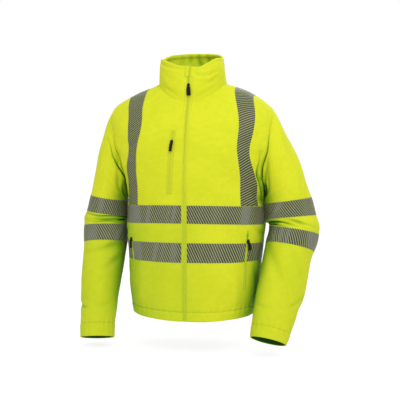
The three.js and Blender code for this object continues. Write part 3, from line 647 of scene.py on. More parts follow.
def buildSoftshell(tree, lit, litSecond):
    uv = addNode(tree, "ShaderNodeUVMap", uv_map="cloth").outputs[0]
    shade = addNode(tree, "ShaderNodeAttribute", attribute_name="shade", attribute_type="GEOMETRY").outputs["Fac"]
    scale = 2 * math.pi / 20 / softshell["threadSpacing"]
    warp = addNode(tree, "ShaderNodeTexWave", {"Vector": uv, "Scale": scale, "Distortion": 0.6, "Detail": 1.0,
                                               "Detail Scale": 0.4}, bands_direction="X").outputs["Fac"]
    weft = addNode(tree, "ShaderNodeTexWave", {"Vector": uv, "Scale": scale, "Distortion": 0.6, "Detail": 1.0,
                                               "Detail Scale": 0.4}, bands_direction="Y").outputs["Fac"]
    threads = mathOf(tree, "MULTIPLY", warp, weft)
    mottle = addNode(tree, "ShaderNodeTexNoise", {"Vector": uv, "Scale": 1 / softshell["mottle"], "Detail": 4.0,
                                                  "Roughness": 0.6}).outputs["Fac"]
    wide = addNode(tree, "ShaderNodeTexNoise", {"Vector": uv, "Scale": 9.0, "Detail": 2.0}).outputs["Fac"]
    both = mathOf(tree, "ADD", mathOf(tree, "MULTIPLY", mottle, 0.5), mathOf(tree, "MULTIPLY", wide, 0.5))
    patches = rangeOf(tree, both,
                      0.36, 0.64)
    base = mixColours(tree, patches, linear(lit), linear(litSecond))
    # Painted shade: where the shade attribute is low, the colour is mixed to the shaded green, and lower still to the
    # darkest green.
    green = mixColours(tree, rangeOf(tree, shade, 0.30, 0.92), linear(softshell["shaded"]), base)
    colour = mixColours(tree, rangeOf(tree, shade, 0.0, 0.36), linear(softshell["deepShade"]), green)
    height = mathOf(tree, "ADD", mathOf(tree, "MULTIPLY", threads, 0.4), mathOf(tree, "MULTIPLY", mottle, 1.4))
    bump = addNode(tree, "ShaderNodeBump", {"Height": height, "Strength": 0.35, "Distance": 0.0005})
    return addNode(tree, "ShaderNodeBsdfPrincipled", {
        "Base Color": colour, "Roughness": softshell["roughness"], "Normal": bump.outputs[0],
        "Specular IOR Level": 0.14, "Sheen Weight": softshell["sheen"], "Sheen Roughness": 0.5,
        "Sheen Tint": linear("#e6ef5a"),
    })


# Segmented reflective tape: glass beads in a grey film, printed in slanting bars and welded on. Dull grey by day,
# with a painted highlight: the film is painted paler where the glare attribute and streaks say the beads catch the
# light; yellow cloth shows in the gaps.
reflectiveTape = {
    "film": "#30332d",
    "filmLit": "#63665c",
    "gap": "#999d5c",
    "gapPitch": 0.0062,
    "gapShare": 0.24,
    "slantDegrees": 63.0,
    "edge": 0.0012,
    "roughness": 0.5,
}


def buildTape(tree):
    uv = addNode(tree, "ShaderNodeUVMap", uv_map="cloth").outputs[0]
    slant = math.radians(reflectiveTape["slantDegrees"])
    pitch = reflectiveTape["gapPitch"]
    direction = (math.sin(slant) / pitch, math.cos(slant) / pitch, 0.0)
    along = addNode(tree, "ShaderNodeVectorMath", {0: uv, 1: direction}, operation="DOT_PRODUCT").outputs["Value"]
    toGap = mathOf(tree, "PINGPONG", along, 0.5)             # 0 in the middle of a gap, 0.5 in the middle of a bar
    across = addNode(tree, "ShaderNodeSeparateXYZ", {0: uv}).outputs["Y"]
    edge = reflectiveTape["edge"]
    width = garment["tapeWidth"] / 1000
    fromEdge = mathOf(tree, "MINIMUM", across, mathOf(tree, "SUBTRACT", width, across))
    rounded = rangeOf(tree, fromEdge, 0.0, edge, 0.5, 0.0)
    gap = reflectiveTape["gapShare"] / 2
    film = rangeOf(tree, mathOf(tree, "SUBTRACT", toGap, mathOf(tree, "MULTIPLY", rounded, 0.6)), gap - 0.03, gap + 0.05)
    stretched = addNode(tree, "ShaderNodeMapping", {"Vector": uv, "Rotation": (0, 0, math.radians(-14)),
                                                    "Scale": (17.0, 4.0, 1.0)}).outputs[0]
    streaks = addNode(tree, "ShaderNodeTexNoise", {"Vector": stretched, "Scale": 1.0, "Detail": 3.0,
                                                   "Roughness": 0.55}).outputs["Fac"]
    glare = addNode(tree, "ShaderNodeAttribute", attribute_name="glare", attribute_type="GEOMETRY").outputs["Fac"]
    fine = addNode(tree, "ShaderNodeTexNoise", {"Vector": uv, "Scale": 900.0, "Detail": 2.0}).outputs["Fac"]
    # Painted highlight: the glare attribute and stretched streaks mix the film towards its lit colour.
    uneven = mathOf(tree, "ADD", mathOf(tree, "MULTIPLY", glare, 0.8), mathOf(tree, "MULTIPLY", streaks, 0.5))
    patches = rangeOf(tree, uneven, 0.3, 1.05)
    filmColour = mixColours(tree, patches, linear(reflectiveTape["film"]), linear(reflectiveTape["filmLit"]))
    dim = rangeOf(tree, glare, 0.05, 1.3)                    # painted highlight: where the beads shine, the gaps are painted over in the lit film colour
    gapColour = mixColours(tree, dim, linear(reflectiveTape["gap"]), linear(reflectiveTape["filmLit"]))
    colour = mixColours(tree, film, gapColour, filmColour)
    height = mathOf(tree, "ADD", film, mathOf(tree, "MULTIPLY", fine, 0.3))
    bump = addNode(tree, "ShaderNodeBump", {"Height": height, "Strength": 0.4, "Distance": 0.00025})
    rough = rangeOf(tree, film, 0.0, 1.0, 0.75, reflectiveTape["roughness"])
    return addNode(tree, "ShaderNodeBsdfPrincipled", {
        "Base Color": colour, "Roughness": rough, "Normal": bump.outputs[0], "Specular IOR Level": 0.3,
    })


# Zip tape: twill of polyester yarn in the cloth's yellow, with a faint slanting rib. Painted shade turns it green where
# its shade attribute is low.
zipTwill = {"colour": "#bcc31c", "dark": "#b2b91b", "shaded": "#82a315", "rib": 0.0012, "roughness": 0.7}


def buildZipTape(tree):
    uv = addNode(tree, "ShaderNodeUVMap", uv_map="cloth").outputs[0]
    turned = addNode(tree, "ShaderNodeMapping", {"Vector": uv, "Rotation": (0, 0, math.radians(38))}).outputs[0]
    rib = addNode(tree, "ShaderNodeTexWave", {"Vector": turned, "Scale": 2 * math.pi / 20 / zipTwill["rib"],
                                              "Distortion": 0.4}).outputs["Fac"]
    shade = addNode(tree, "ShaderNodeAttribute", attribute_name="shade", attribute_type="GEOMETRY").outputs["Fac"]
    woven = mixColours(tree, mathOf(tree, "MULTIPLY", rib, 0.6), linear(zipTwill["dark"]), linear(zipTwill["colour"]))
    colour = mixColours(tree, rangeOf(tree, shade, 0.30, 0.92), linear(zipTwill["shaded"]), woven)
    bump = addNode(tree, "ShaderNodeBump", {"Height": rib, "Strength": 0.4, "Distance": 0.0003})
    return addNode(tree, "ShaderNodeBsdfPrincipled", {
        "Base Color": colour, "Roughness": zipTwill["roughness"], "Normal": bump.outputs[0],
        "Specular IOR Level": 0.15, "Sheen Weight": 0.04,
    })


# Zip coil: nylon monofilament, dyed yellow; smooth, with a soft highlight.
zipNylon = {"colour": "#c0c71f", "dark": "#b2ba1b", "roughness": 0.42}


def buildNylon(tree):
    place = addNode(tree, "ShaderNodeTexCoord").outputs["Object"]
    noise = addNode(tree, "ShaderNodeTexNoise", {"Vector": place, "Scale": 220.0, "Detail": 2.0}).outputs["Fac"]
    colour = mixColours(tree, noise, linear(zipNylon["dark"]), linear(zipNylon["colour"]))
    return addNode(tree, "ShaderNodeBsdfPrincipled", {"Base Color": colour, "Roughness": zipNylon["roughness"],
                                                      "IOR": 1.53})


# Sewing thread: spun polyester in the cloth's colour, a shade darker where it sinks in.
thread = {"colour": "#a9b21b", "dark": "#8f9c18", "roughness": 0.6}


def buildThread(tree):
    place = addNode(tree, "ShaderNodeTexCoord").outputs["Object"]
    noise = addNode(tree, "ShaderNodeTexNoise", {"Vector": place, "Scale": 900.0, "Detail": 1.0}).outputs["Fac"]
    colour = mixColours(tree, noise, linear(thread["dark"]), linear(thread["colour"]))
    return addNode(tree, "ShaderNodeBsdfPrincipled", {"Base Color": colour, "Roughness": thread["roughness"],
                                                      "Sheen Weight": 0.2})


# Pull tabs: soft moulded PVC, near black, satin with a fine grain from the mould.
pullPvc = {"colour": "#050806", "worn": "#0e120f", "grain": 0.0007, "roughness": 0.55}


def buildPullPvc(tree):
    place = addNode(tree, "ShaderNodeTexCoord").outputs["Object"]
    grain = addNode(tree, "ShaderNodeTexNoise", {"Vector": place, "Scale": 1 / pullPvc["grain"],
                                                 "Detail": 2.0}).outputs["Fac"]
    wide = addNode(tree, "ShaderNodeTexNoise", {"Vector": place, "Scale": 160.0, "Detail": 2.0}).outputs["Fac"]
    colour = mixColours(tree, rangeOf(tree, wide, 0.45, 0.75), linear(pullPvc["colour"]), linear(pullPvc["worn"]))
    bump = addNode(tree, "ShaderNodeBump", {"Height": grain, "Strength": 0.3, "Distance": 0.0002})
    rough = rangeOf(tree, wide, 0.3, 0.7, pullPvc["roughness"], pullPvc["roughness"] + 0.12)
    return addNode(tree, "ShaderNodeBsdfPrincipled", {"Base Color": colour, "Roughness": rough,
                                                      "Normal": bump.outputs[0], "Specular IOR Level": 0.2})


# Sliders: die-cast zinc with black stove enamel, smooth and glossier than the pulls.
sliderEnamel = {"colour": "#070907", "edge": "#151916", "roughness": 0.35}


def buildEnamel(tree):
    place = addNode(tree, "ShaderNodeTexCoord").outputs["Object"]
    noise = addNode(tree, "ShaderNodeTexNoise", {"Vector": place, "Scale": 500.0, "Detail": 3.0}).outputs["Fac"]
    colour = mixColours(tree, rangeOf(tree, noise, 0.5, 0.8), linear(sliderEnamel["colour"]), linear(sliderEnamel["edge"]))
    return addNode(tree, "ShaderNodeBsdfPrincipled", {"Base Color": colour, "Roughness": sliderEnamel["roughness"],
                                                      "Specular IOR Level": 0.35})


# Side loops: narrow polyester webbing, dark green, ribbed across.
sideWebbing = {"colour": "#35521f", "light": "#56783a", "rib": 0.0014, "roughness": 0.72}


def buildWebbing(tree):
    uv = addNode(tree, "ShaderNodeUVMap", uv_map="cloth").outputs[0]
    rib = addNode(tree, "ShaderNodeTexWave", {"Vector": uv, "Scale": 2 * math.pi / 20 / sideWebbing["rib"],
                                              "Distortion": 0.5}, bands_direction="Y").outputs["Fac"]
    colour = mixColours(tree, rib, linear(sideWebbing["colour"]), linear(sideWebbing["light"]))
    bump = addNode(tree, "ShaderNodeBump", {"Height": rib, "Strength": 0.5, "Distance": 0.0004})
    return addNode(tree, "ShaderNodeBsdfPrincipled", {"Base Color": colour, "Roughness": sideWebbing["roughness"],
                                                      "Normal": bump.outputs[0], "Sheen Weight": 0.15})


def buildFloor(tree):
    place = addNode(tree, "ShaderNodeTexCoord").outputs["Object"]
    noise = addNode(tree, "ShaderNodeTexNoise", {"Vector": place, "Scale": 3.0, "Detail": 2.0}).outputs["Fac"]
    colour = mixColours(tree, noise, linear("#727272"), linear("#787878"))
    return addNode(tree, "ShaderNodeBsdfPrincipled", {"Base Color": colour, "Roughness": 0.9, "Specular IOR Level": 0.0,
                                                      "Emission Color": (1, 1, 1, 1), "Emission Strength": 0.86})


materials = {
    "softshell": newMaterial("fluorescent_softshell",
                             lambda tree: buildSoftshell(tree, softshell["lit"], softshell["litSecond"])),
    "backing": newMaterial("knit_backing", lambda tree: buildSoftshell(tree, "#b9c821", "#c2cd25")),
    "tape": newMaterial("segmented_reflective_film", buildTape),
    "zipTape": newMaterial("zip_twill_tape", buildZipTape),
    "nylon": newMaterial("zip_nylon_coil", buildNylon),
    "thread": newMaterial("polyester_thread", buildThread),
    "pull": newMaterial("moulded_pvc_pull", buildPullPvc),
    "enamel": newMaterial("enamelled_zinc_slider", buildEnamel),
    "webbing": newMaterial("polyester_webbing", buildWebbing),
    "floor": newMaterial("studio_floor", buildFloor),
}
print("materials made:", len(materials))


# Meshes

def gridFaces(rows, columns, wrapped):
    j, i = np.meshgrid(np.arange(rows - 1), np.arange(columns if wrapped else columns - 1), indexing="ij")
    nextI = (i + 1) % columns
    return np.stack([j * columns + i, j * columns + nextI, (j + 1) * columns + nextI, (j + 1) * columns + i],
                    -1).reshape(-1, 4)


def rimLoops(rows, columns, wrapped):
    top, bottom = (rows - 1) * columns, 0
    if wrapped:
        return [np.arange(columns) + bottom, np.arange(columns) + top]
    down = [j * columns + columns - 1 for j in range(1, rows)]
    back = [top + i for i in range(columns - 2, -1, -1)]
    up = [j * columns for j in range(rows - 2, 0, -1)]
    return [np.array(list(range(columns)) + down + back + up)]


# A closed sheet with rounded edges, between two offsets of a grid of points.
def shellMesh(name, p, n, outer, thickness, uv, materialNames, wrapped=False, shade=None, wrapLength=0.0,
              shadeName="shade"):
    rows, columns = p.shape[:2]
    thickness = np.broadcast_to(np.asarray(thickness, float), (rows, columns))
    middle = p + n * (outer - thickness / 2)[..., None]
    half = (n * (thickness / 2)[..., None]).reshape(-1, 3)
    away = np.zeros_like(p)
    away[0] += unit(p[0] - p[1])
    away[-1] += unit(p[-1] - p[-2])
    if not wrapped:
        away[:, 0] += unit(p[:, 0] - p[:, 1])
        away[:, -1] += unit(p[:, -1] - p[:, -2])
    away = away - n * (away * n).sum(-1, keepdims=True)
    away = (unit(away) * (thickness / 2)[..., None]).reshape(-1, 3)
    middle = middle.reshape(-1, 3)
    count = rows * columns
    points = [middle + half, middle - half]
    sources = [np.arange(count), np.arange(count)]
    outerFaces = gridFaces(rows, columns, wrapped)
    innerFaces = outerFaces[:, ::-1] + count
    total = 2 * count
    rimFaces = []
    for loop in rimLoops(rows, columns, wrapped):
        previous = loop
        for turn in (45, 90, 135):
            angle = math.radians(turn)
            ring = middle[loop] + half[loop] * math.cos(angle) + away[loop] * math.sin(angle) * 0.8
            points.append(ring)
            sources.append(loop)
            here = total + np.arange(len(loop))
            rimFaces.append(np.stack([previous, np.roll(previous, -1), np.roll(here, -1), here], -1))
            previous = here
            total += len(loop)
        inner = loop + count
        rimFaces.append(np.stack([previous, np.roll(previous, -1), np.roll(inner, -1), inner], -1))
    points = np.concatenate(points) / 1000
    source = np.concatenate(sources)
    faces = np.concatenate([outerFaces, innerFaces, *rimFaces])
    mesh = bpy.data.meshes.new(name)
    mesh.vertices.add(len(points))
    mesh.vertices.foreach_set("co", points.astype(np.float32).ravel())
    mesh.loops.add(faces.size)
    mesh.loops.foreach_set("vertex_index", faces.ravel().astype(np.int32))
    mesh.polygons.add(len(faces))
    mesh.polygons.foreach_set("loop_start", np.arange(0, faces.size, 4, dtype=np.int32))
    which = np.zeros(len(faces), np.int32)
    if len(materialNames) > 1:
        which[len(outerFaces):len(outerFaces) + len(innerFaces)] = 1
    for materialName in materialNames:
        mesh.materials.append(materials[materialName])
    mesh.polygons.foreach_set("material_index", which)
    mesh.polygons.foreach_set("use_smooth", np.ones(len(faces), bool))
    mesh.update(calc_edges=True)
    layer = mesh.uv_layers.new(name="cloth")
    corners = (uv.reshape(-1, 2)[source] / 1000)[faces]
    if wrapped:
        wide = wrapLength / 1000
        jump = corners[..., 0].max(1) - corners[..., 0].min(1) > wide / 2
        low = corners[..., 0] < (corners[..., 0].max(1) - wide / 2)[:, None]
        corners[..., 0] += np.where(jump[:, None] & low, wide, 0)
    layer.data.foreach_set("uv", corners.astype(np.float32).ravel())
    if shade is not None:
        attribute = mesh.attributes.new(shadeName, "FLOAT", "POINT")
        outerShade, innerShade = (s.reshape(-1) for s in shade)
        values = np.concatenate([outerShade, innerShade, outerShade[source[2 * count:]]])
        attribute.data.foreach_set("value", values.astype(np.float32))
    work = bmesh.new()
    work.from_mesh(mesh)
    bmesh.ops.recalc_face_normals(work, faces=work.faces)
    work.to_mesh(mesh)
    work.free()
    piece = bpy.data.objects.new(name, mesh)
    scene.collection.objects.link(piece)
    return piece


def finishPiece(piece, body, slotName, *nodes):
    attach(piece, body)
    if nodes:
        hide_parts(*nodes)
    return piece


# How finely the cloth is sampled, in millimetres between its rows and columns.
fineness = {"rowStep": 3.6, "armholeRows": 64, "shoulderStep": 2.4, "frontColumns": 84, "backColumns": 150,
            "sleeveColumns": 128, "sleeveStep": 3.0, "collarRows": 42, "collarColumns": 200}


def closeRows(start, end, step, near=()):
    rows = list(np.linspace(start, end, max(2, int(round(abs(end - start) / step)) + 1)))
    for level in near:
        rows += [level - 2.4, level - 1.2, level, level + 1.2, level + 2.4]
    rows = np.unique(np.round(rows, 3))
    keep = [rows[0]]
    for level in rows[1:]:
        if level - keep[-1] > 0.7:
            keep.append(level)
    keep[-1] = rows[-1]
    return np.array(keep)


def torsoLevels():
    bands = [garment["upperBandTop"], garment["upperBandTop"] - garment["tapeWidth"],
             garment["lowerBandTop"], garment["lowerBandTop"] - garment["tapeWidth"]]
    stops = sorted([garment["hemLevel"], garment["underarmLevel"], *bands])
    rows = []
    hemStitch = garment["hemLevel"] + needlework["hemStitchRise"]
    for low, high in zip(stops[:-1], stops[1:]):
        near = [hemStitch] if low < hemStitch < high else []
        rows += list(closeRows(low, high, fineness["rowStep"], near))[:-1]
    turn = np.linspace(0, math.pi, fineness["armholeRows"] + 1)
    rows += list(armholePlace(turn)[1])
    top = closeRows(garment["shoulderTipLevel"], garment["neckLevel"], fineness["shoulderStep"])
    rows += list(top[1:])
    return np.array(rows)


levels = torsoLevels()
seamGapAngle = garment["seamGap"] / torso["side"](levels)
frontPull = armholePull(levels, garment["armholeFrontAngle"])
backPull = armholePull(levels, garment["armholeBackAngle"])
edgeShares = np.array([0, 0.006, 0.013, 0.02, 0.027, 0.036, 0.048])
frontShares = np.concatenate([edgeShares, np.linspace(0.062, 1, fineness["frontColumns"] - len(edgeShares))])


def frontAngles(side, level, pull, gap, shares):
    start = angleAtX(torso, garment["zipHalfOpening"], level)
    end = math.pi / 2 - pull - gap
    return side * (start[:, None] + (end - start)[:, None] * shares[None, :])


def mmAround(angle):
    return np.degrees(angle) * degreeLength["torso"]


shellPieces = []          # kept until the shade is known, because it needs all of them


def planShell(**plan):
    shellPieces.append(plan)


def planTorso():
    thickness = np.where(levels < garment["hemLevel"] + needlework["hemStitchRise"], garment["hemThickness"],
                         garment["clothThickness"])
    for entry in sides:
        angle = frontAngles(entry["side"], levels, frontPull, seamGapAngle, frontShares)
        level = np.broadcast_to(levels[:, None], angle.shape)
        p, n, dark = torsoSkin(angle, level)
        planShell(name="cloth_front_" + entry["name"], node="front_" + entry["name"], p=p, n=n, dark=dark,
                  thickness=thickness[:, None], uv=np.stack([mmAround(angle), level], -1), wrapped=False)
    start = math.pi / 2 + backPull + seamGapAngle
    shares = np.linspace(0, 1, fineness["backColumns"] + 1)
    angle = start[:, None] + (2 * math.pi - 2 * start)[:, None] * shares[None, :]
    level = np.broadcast_to(levels[:, None], angle.shape)
    p, n, dark = torsoSkin(angle, level)
    planShell(name="cloth_back", node="back", p=p, n=n, dark=dark, thickness=thickness[:, None],
              uv=np.stack([mmAround(angle), level], -1), wrapped=False)


def planCollar():
    level = np.append(-0.03, np.linspace(0.0, 1, fineness["collarRows"]))
    start = angleAtX(collar, garment["zipHalfOpening"] + parting(level), level)
    shares = np.linspace(0, 1, fineness["collarColumns"])
    angle = start[:, None] + (2 * math.pi - 2 * start)[:, None] * shares[None, :]
    grid = np.broadcast_to(level[:, None], angle.shape)
    p, n, dark = collarSkin(angle, grid)
    uv = np.stack([np.degrees(angle) * degreeLength["collar"], grid * 100], -1)
    roll = smoothStep(0.84, 0.97, level) * garment["collarRoll"]
    planShell(name="cloth_collar", node="collar", p=p, n=n, dark=dark,
              thickness=(garment["collarThickness"] + roll)[:, None], uv=uv, wrapped=False)


sleeveTapes = {"upper": (190.0, 240.0), "lower": (280.0, 330.0)}
sleeveLength = 592.0


def sleeveTurns():
    return np.linspace(0, 2 * math.pi, fineness["sleeveColumns"], endpoint=False)[None, :]


def planSleeves():
    stops = sorted({0.0, sleeveLength, *sleeveTapes["upper"], *sleeveTapes["lower"]})
    stitch = sleeveLength - needlework["cuffStitchRise"]
    rows = []
    for low, high in zip(stops[:-1], stops[1:]):
        near = [stitch] if low < stitch < high else []
        rows += list(closeRows(low, high, fineness["sleeveStep"], near))[:-1]
    along = np.array(rows + [sleeveLength])[:, None]
    turn = sleeveTurns()
    for entry in sides:
        p, n, dark = entry["skin"](turn, along)
        thickness = np.where(along > stitch, garment["hemThickness"], garment["clothThickness"])
        around = entry["side"] * np.degrees(turn) * degreeLength["sleeve"]
        uv = np.stack(np.broadcast_arrays(around, -along), -1)
        # painted shade for the sleeves: weaker contrast, a darker inside and less darkening from the side
        planShell(name="cloth_sleeve_" + entry["name"], node="sleeve_" + entry["name"], p=p, n=n, dark=dark,
                  thickness=thickness, uv=uv, wrapped=True, inside=0.16,
                  contrast=0.72, turnedAway=0.04, lowDown=0.22 if entry["side"] > 0 else 0.27)


planTorso()
planCollar()
planSleeves()
print("cloth sampled:", sum(plan["p"].shape[0] * plan["p"].shape[1] for plan in shellPieces), "points")

# Painted shade: how open each place is to the light, from rays against a coarse copy of all the cloth, made lower where
# the cloth turns from the bright side, lower down, and on the inside; the materials paint it as greener, darker cloth.
shadeValues = {"step": 5, "rays": 40, "reach": 120.0, "seed": 5, "contrast": 0.75, "brightSide": (0.5, -0.74, 0.45),
               "turnedAway": 0.12, "lowDown": 0.27, "lowDownLeft": 0.12, "lowStart": -230.0, "lowEnd": -430.0}


def coarseTree():
    points, faces = [], []
    for plan in shellPieces:
        j = np.unique(np.append(np.arange(0, plan["p"].shape[0], 3), plan["p"].shape[0] - 1))
        i = np.arange(0, plan["p"].shape[1], 3)
        if not plan["wrapped"]:
            i = np.unique(np.append(i, plan["p"].shape[1] - 1))
        sheet = (plan["p"] - plan["n"] * 1.0)[np.ix_(j, i)]
        grid = gridFaces(len(j), len(i), plan["wrapped"]) + len(points)
        points += sheet.reshape(-1, 3).tolist()
        faces += grid.tolist()
    return BVHTree.FromPolygons(points, faces)


def hemisphere():
    chance = np.random.RandomState(shadeValues["seed"])
    height = np.sqrt((np.arange(shadeValues["rays"]) + 0.5) / shadeValues["rays"])
    turn = np.arange(shadeValues["rays"]) * 2.39996 + chance.uniform(0, 6)
    flat = np.sqrt(1 - height ** 2)
    return np.stack([flat * np.cos(turn), flat * np.sin(turn), height], -1)


def openness(tree, points, normals):
    rays = hemisphere()
    share = np.zeros(len(points))
    for k, (point, normal) in enumerate(zip(points, normals)):
        first = np.cross(normal, (0.0, 0.0, 1.0) if abs(normal[2]) < 0.9 else (1.0, 0.0, 0.0))
        first /= np.linalg.norm(first)
        second = np.cross(normal, first)
        directions = rays @ np.stack([first, second, normal])
        start = Vector(point + normal * 2.6)
        reach = shadeValues["reach"]
        seen = 0.0
        for direction in directions.tolist():
            hit = tree.ray_cast(start, direction, reach)
            seen += 1.0 if hit[0] is None else min(1.0, (hit[3] / reach) ** 1.2 * 0.8)
        share[k] = seen / len(directions)
    return share


def shadeOf(tree, plan):
    rows, columns = plan["p"].shape[:2]
    step = shadeValues["step"]
    j = np.unique(np.append(np.arange(0, rows, step), rows - 1))
    i = np.unique(np.append(np.arange(0, columns, step), columns - 1))
    shades = []
    for side in (1.0, -1.0):
        points = plan["p"][np.ix_(j, i)] + (0 if side > 0 else -3.0) * plan["n"][np.ix_(j, i)]
        normals = plan["n"][np.ix_(j, i)] * side
        coarse = openness(tree, points.reshape(-1, 3), normals.reshape(-1, 3)).reshape(len(j), len(i))
        if plan["wrapped"]:
            across = np.array([np.interp(np.arange(columns), np.append(i, columns), np.append(row, row[0]))
                               for row in coarse])
        else:
            across = np.array([np.interp(np.arange(columns), i, row) for row in coarse])
        full = np.array([np.interp(np.arange(rows), j, across[:, c]) for c in range(columns)]).T
        full = 1 - (1 - full) * plan.get("contrast", shadeValues["contrast"])
        # painted shade: the inner face is darker
        if side < 0:
            full = full * plan.get("inside", 0.8)
        # painted shade: darker where the cloth turns away from the bright side, and towards the bottom, less so on the
        # wearer's left
        bright = unit(np.array(shadeValues["brightSide"]))
        frontward = plan["n"] * side * [1, -1, 1]
        frontward[..., 1] = -np.abs(frontward[..., 1])            # the back is shaded as the front is
        away = 1 - smoothStep(0.15, 0.75, frontward @ bright)
        low = smoothStep(-shadeValues["lowStart"], -shadeValues["lowEnd"], -plan["p"][..., 2])
        full = full - plan.get("turnedAway", shadeValues["turnedAway"]) * away
        leftward = smoothStep(-20, 110, plan["p"][..., 0])
        lowDown = shadeValues["lowDown"] + (shadeValues["lowDownLeft"] - shadeValues["lowDown"]) * leftward
        full = full - plan.get("lowDown", lowDown) * low
        shades.append(np.clip(full - (plan["dark"] if side > 0 else plan["dark"] * 0.7), 0, 1))
    return shades


lightTree = coarseTree()
for plan in shellPieces:
    shade = shadeOf(lightTree, plan)
    piece = shellMesh(plan["name"], plan["p"], plan["n"], 0.0, plan["thickness"], plan["uv"],
                      ["softshell", "backing"], plan["wrapped"], shade, 360 * degreeLength["sleeve"])
    finishPiece(piece, "jacket", "softshell", plan["node"])


# Reflective tapes


def tapeLengths(p):
    step = np.linalg.norm(np.diff(p, axis=1), axis=-1).mean(0)
    return np.concatenate([[0], np.cumsum(step)])


# Painted highlight on the tapes, where the beads catch the light and hide the gaps: the axis, the middle, half the
# width, the lean and how strong.
glarePatches = {
    "upper_band_front_right": [("x", -152, 30, 0, 0.9), ("x", -104, 6, 8, 1.0), ("x", -44, 4, 10, 0.6),
                               ("x", -29, 6, 10, 0.9)],
    "lower_band_front_right": [("x", -150, 32, 0, 0.85), ("x", -84, 8, 10, 0.9), ("x", -62, 4, 10, 0.5),
                               ("x", -30, 14, 6, 0.6)],
    "lower_band_side_right": [("x", -190, 30, 0, 0.8)],
    "upper_band_front_left": [("x", 162, 13, 8, 0.85), ("x", 196, 12, 4, 0.45)],
    "lower_band_front_left": [("x", 92, 5, 6, 0.25)],
    "lower_band_side_left": [("x", 186, 12, 4, 0.5)],
    "brace_front_right": [("z", -5, 34, 0, 0.7), ("z", -214, 9, 26, 0.4)],
    "brace_front_left": [("z", -5, 20, 0, 0.5)],
    "brace_back_left": [("z", -20, 26, 0, 0.6), ("z", -190, 6, 8, 0.5)],
    "brace_back_right": [("z", -20, 26, 0, 0.6), ("z", -262, 7, -8, 0.5)],
    "sleeve_upper_band_right": [("x", -262, 11, 6, 0.7), ("x", -259, 3, 6, 0.5)],
    "sleeve_lower_band_right": [("x", -290, 22, 0, 0.7), ("x", -215, 6, 14, 0.9)],
    "sleeve_upper_band_left": [("x", 240, 11, 26, 0.7)],
    "sleeve_lower_band_left": [("x", 238, 4, 10, 0.9), ("x", 256, 5, 10, 0.9), ("x", 276, 5, 10, 0.7),
                               ("x", 338, 14, 0, 0.7)],
    "upper_band_back": [("x", -128, 16, 8, 0.8), ("x", -20, 5, 8, 0.6), ("x", 96, 9, -8, 0.7), ("x", 172, 14, 0, 0.6)],
    "lower_band_back": [("x", -150, 14, 8, 0.7), ("x", -66, 6, 8, 0.7), ("x", 44, 8, -8, 0.6), ("x", 140, 12, 0, 0.6)],
}


def glareOf(name, p, across):
    # Painted highlight: a faint even glare on the bands, none on the braces, then the listed patches.
    glare = np.full(p.shape[:2], 0.0 if name.startswith("brace") else 0.28)
    for axis, middle, half, lean, strength in glarePatches[name]:
        away = np.abs(p[..., 0 if axis == "x" else 2] - middle - lean * (across - 0.5)) / half
        glare = np.maximum(glare, strength * (1 - smoothStep(0.35, 1.25, away)))
    return glare


def addTape(name, p, n, uv, wrapped=False, wrapLength=0.0):
    glare = glareOf(name, p, np.broadcast_to(uv[..., 1] / garment["tapeWidth"], p.shape[:2]))
    piece = shellMesh("tape_" + name, p, n, garment["tapeLift"], garment["tapeThickness"], uv, ["tape"], wrapped,
                      (glare, glare), wrapLength, "glare")
    finishPiece(piece, "jacket", "reflective_tape", name)
    return piece


bandTops = {"upper": garment["upperBandTop"], "lower": garment["lowerBandTop"]}
pocketCut = {"inner": 0.5745, "outer": 0.6135}        # shares of the front's width that the lower tape leaves free
edgeTrim = 0.4


def bandLevels(top):
    low, high = top - garment["tapeWidth"], top
    inside = levels[(levels >= low - 0.1) & (levels <= high + 0.1)]
    return inside


def addFrontBands():
    for entry in sides:
        side = entry["side"]
        for name, top in bandTops.items():
            rows = bandLevels(top)
            gap = garment["seamGap"] / torso["side"](rows)
            trim = edgeTrim / torso["side"](rows).mean()
            if name == "upper":
                parts = [("upper_band_front_" + entry["name"], frontShares)]
            else:
                inside = frontShares[frontShares < pocketCut["inner"] - 0.004]
                outside = frontShares[frontShares > pocketCut["outer"] + 0.004]
                parts = [("lower_band_front_" + entry["name"], np.append(inside, pocketCut["inner"])),
                         ("lower_band_side_" + entry["name"], np.insert(outside, 0, pocketCut["outer"]))]
            for partName, shares in parts:
                angle = frontAngles(side, rows, 0 * rows, gap, shares)
                if shares[0] == 0:
                    angle[:, 0] += side * trim
                if shares[-1] == 1:
                    angle[:, -1] -= side * trim
                level = np.broadcast_to(rows[:, None], angle.shape)
                p, n, _ = torsoSkin(angle, level)
                lengths = tapeLengths(p) * side + side * 7.0
                across = (rows - rows[0]) / (rows[-1] - rows[0]) * garment["tapeWidth"]
                uv = np.stack(np.broadcast_arrays(lengths[None, :], across[:, None]), -1)
                addTape(partName, p, n, uv)


def addBackBands():
    for name, top in bandTops.items():
        rows = bandLevels(top)
        start = math.pi / 2 + (garment["seamGap"] + edgeTrim) / torso["side"](rows)
        shares = np.linspace(0, 1, fineness["backColumns"] + 1)
        angle = start[:, None] + (2 * math.pi - 2 * start)[:, None] * shares[None, :]
        level = np.broadcast_to(rows[:, None], angle.shape)
        p, n, _ = torsoSkin(angle, level)
        across = (rows - rows[0]) / (rows[-1] - rows[0]) * garment["tapeWidth"]
        uv = np.stack(np.broadcast_arrays(tapeLengths(p)[None, :], across[:, None]), -1)
        addTape(name + "_band_back", p, n, uv)


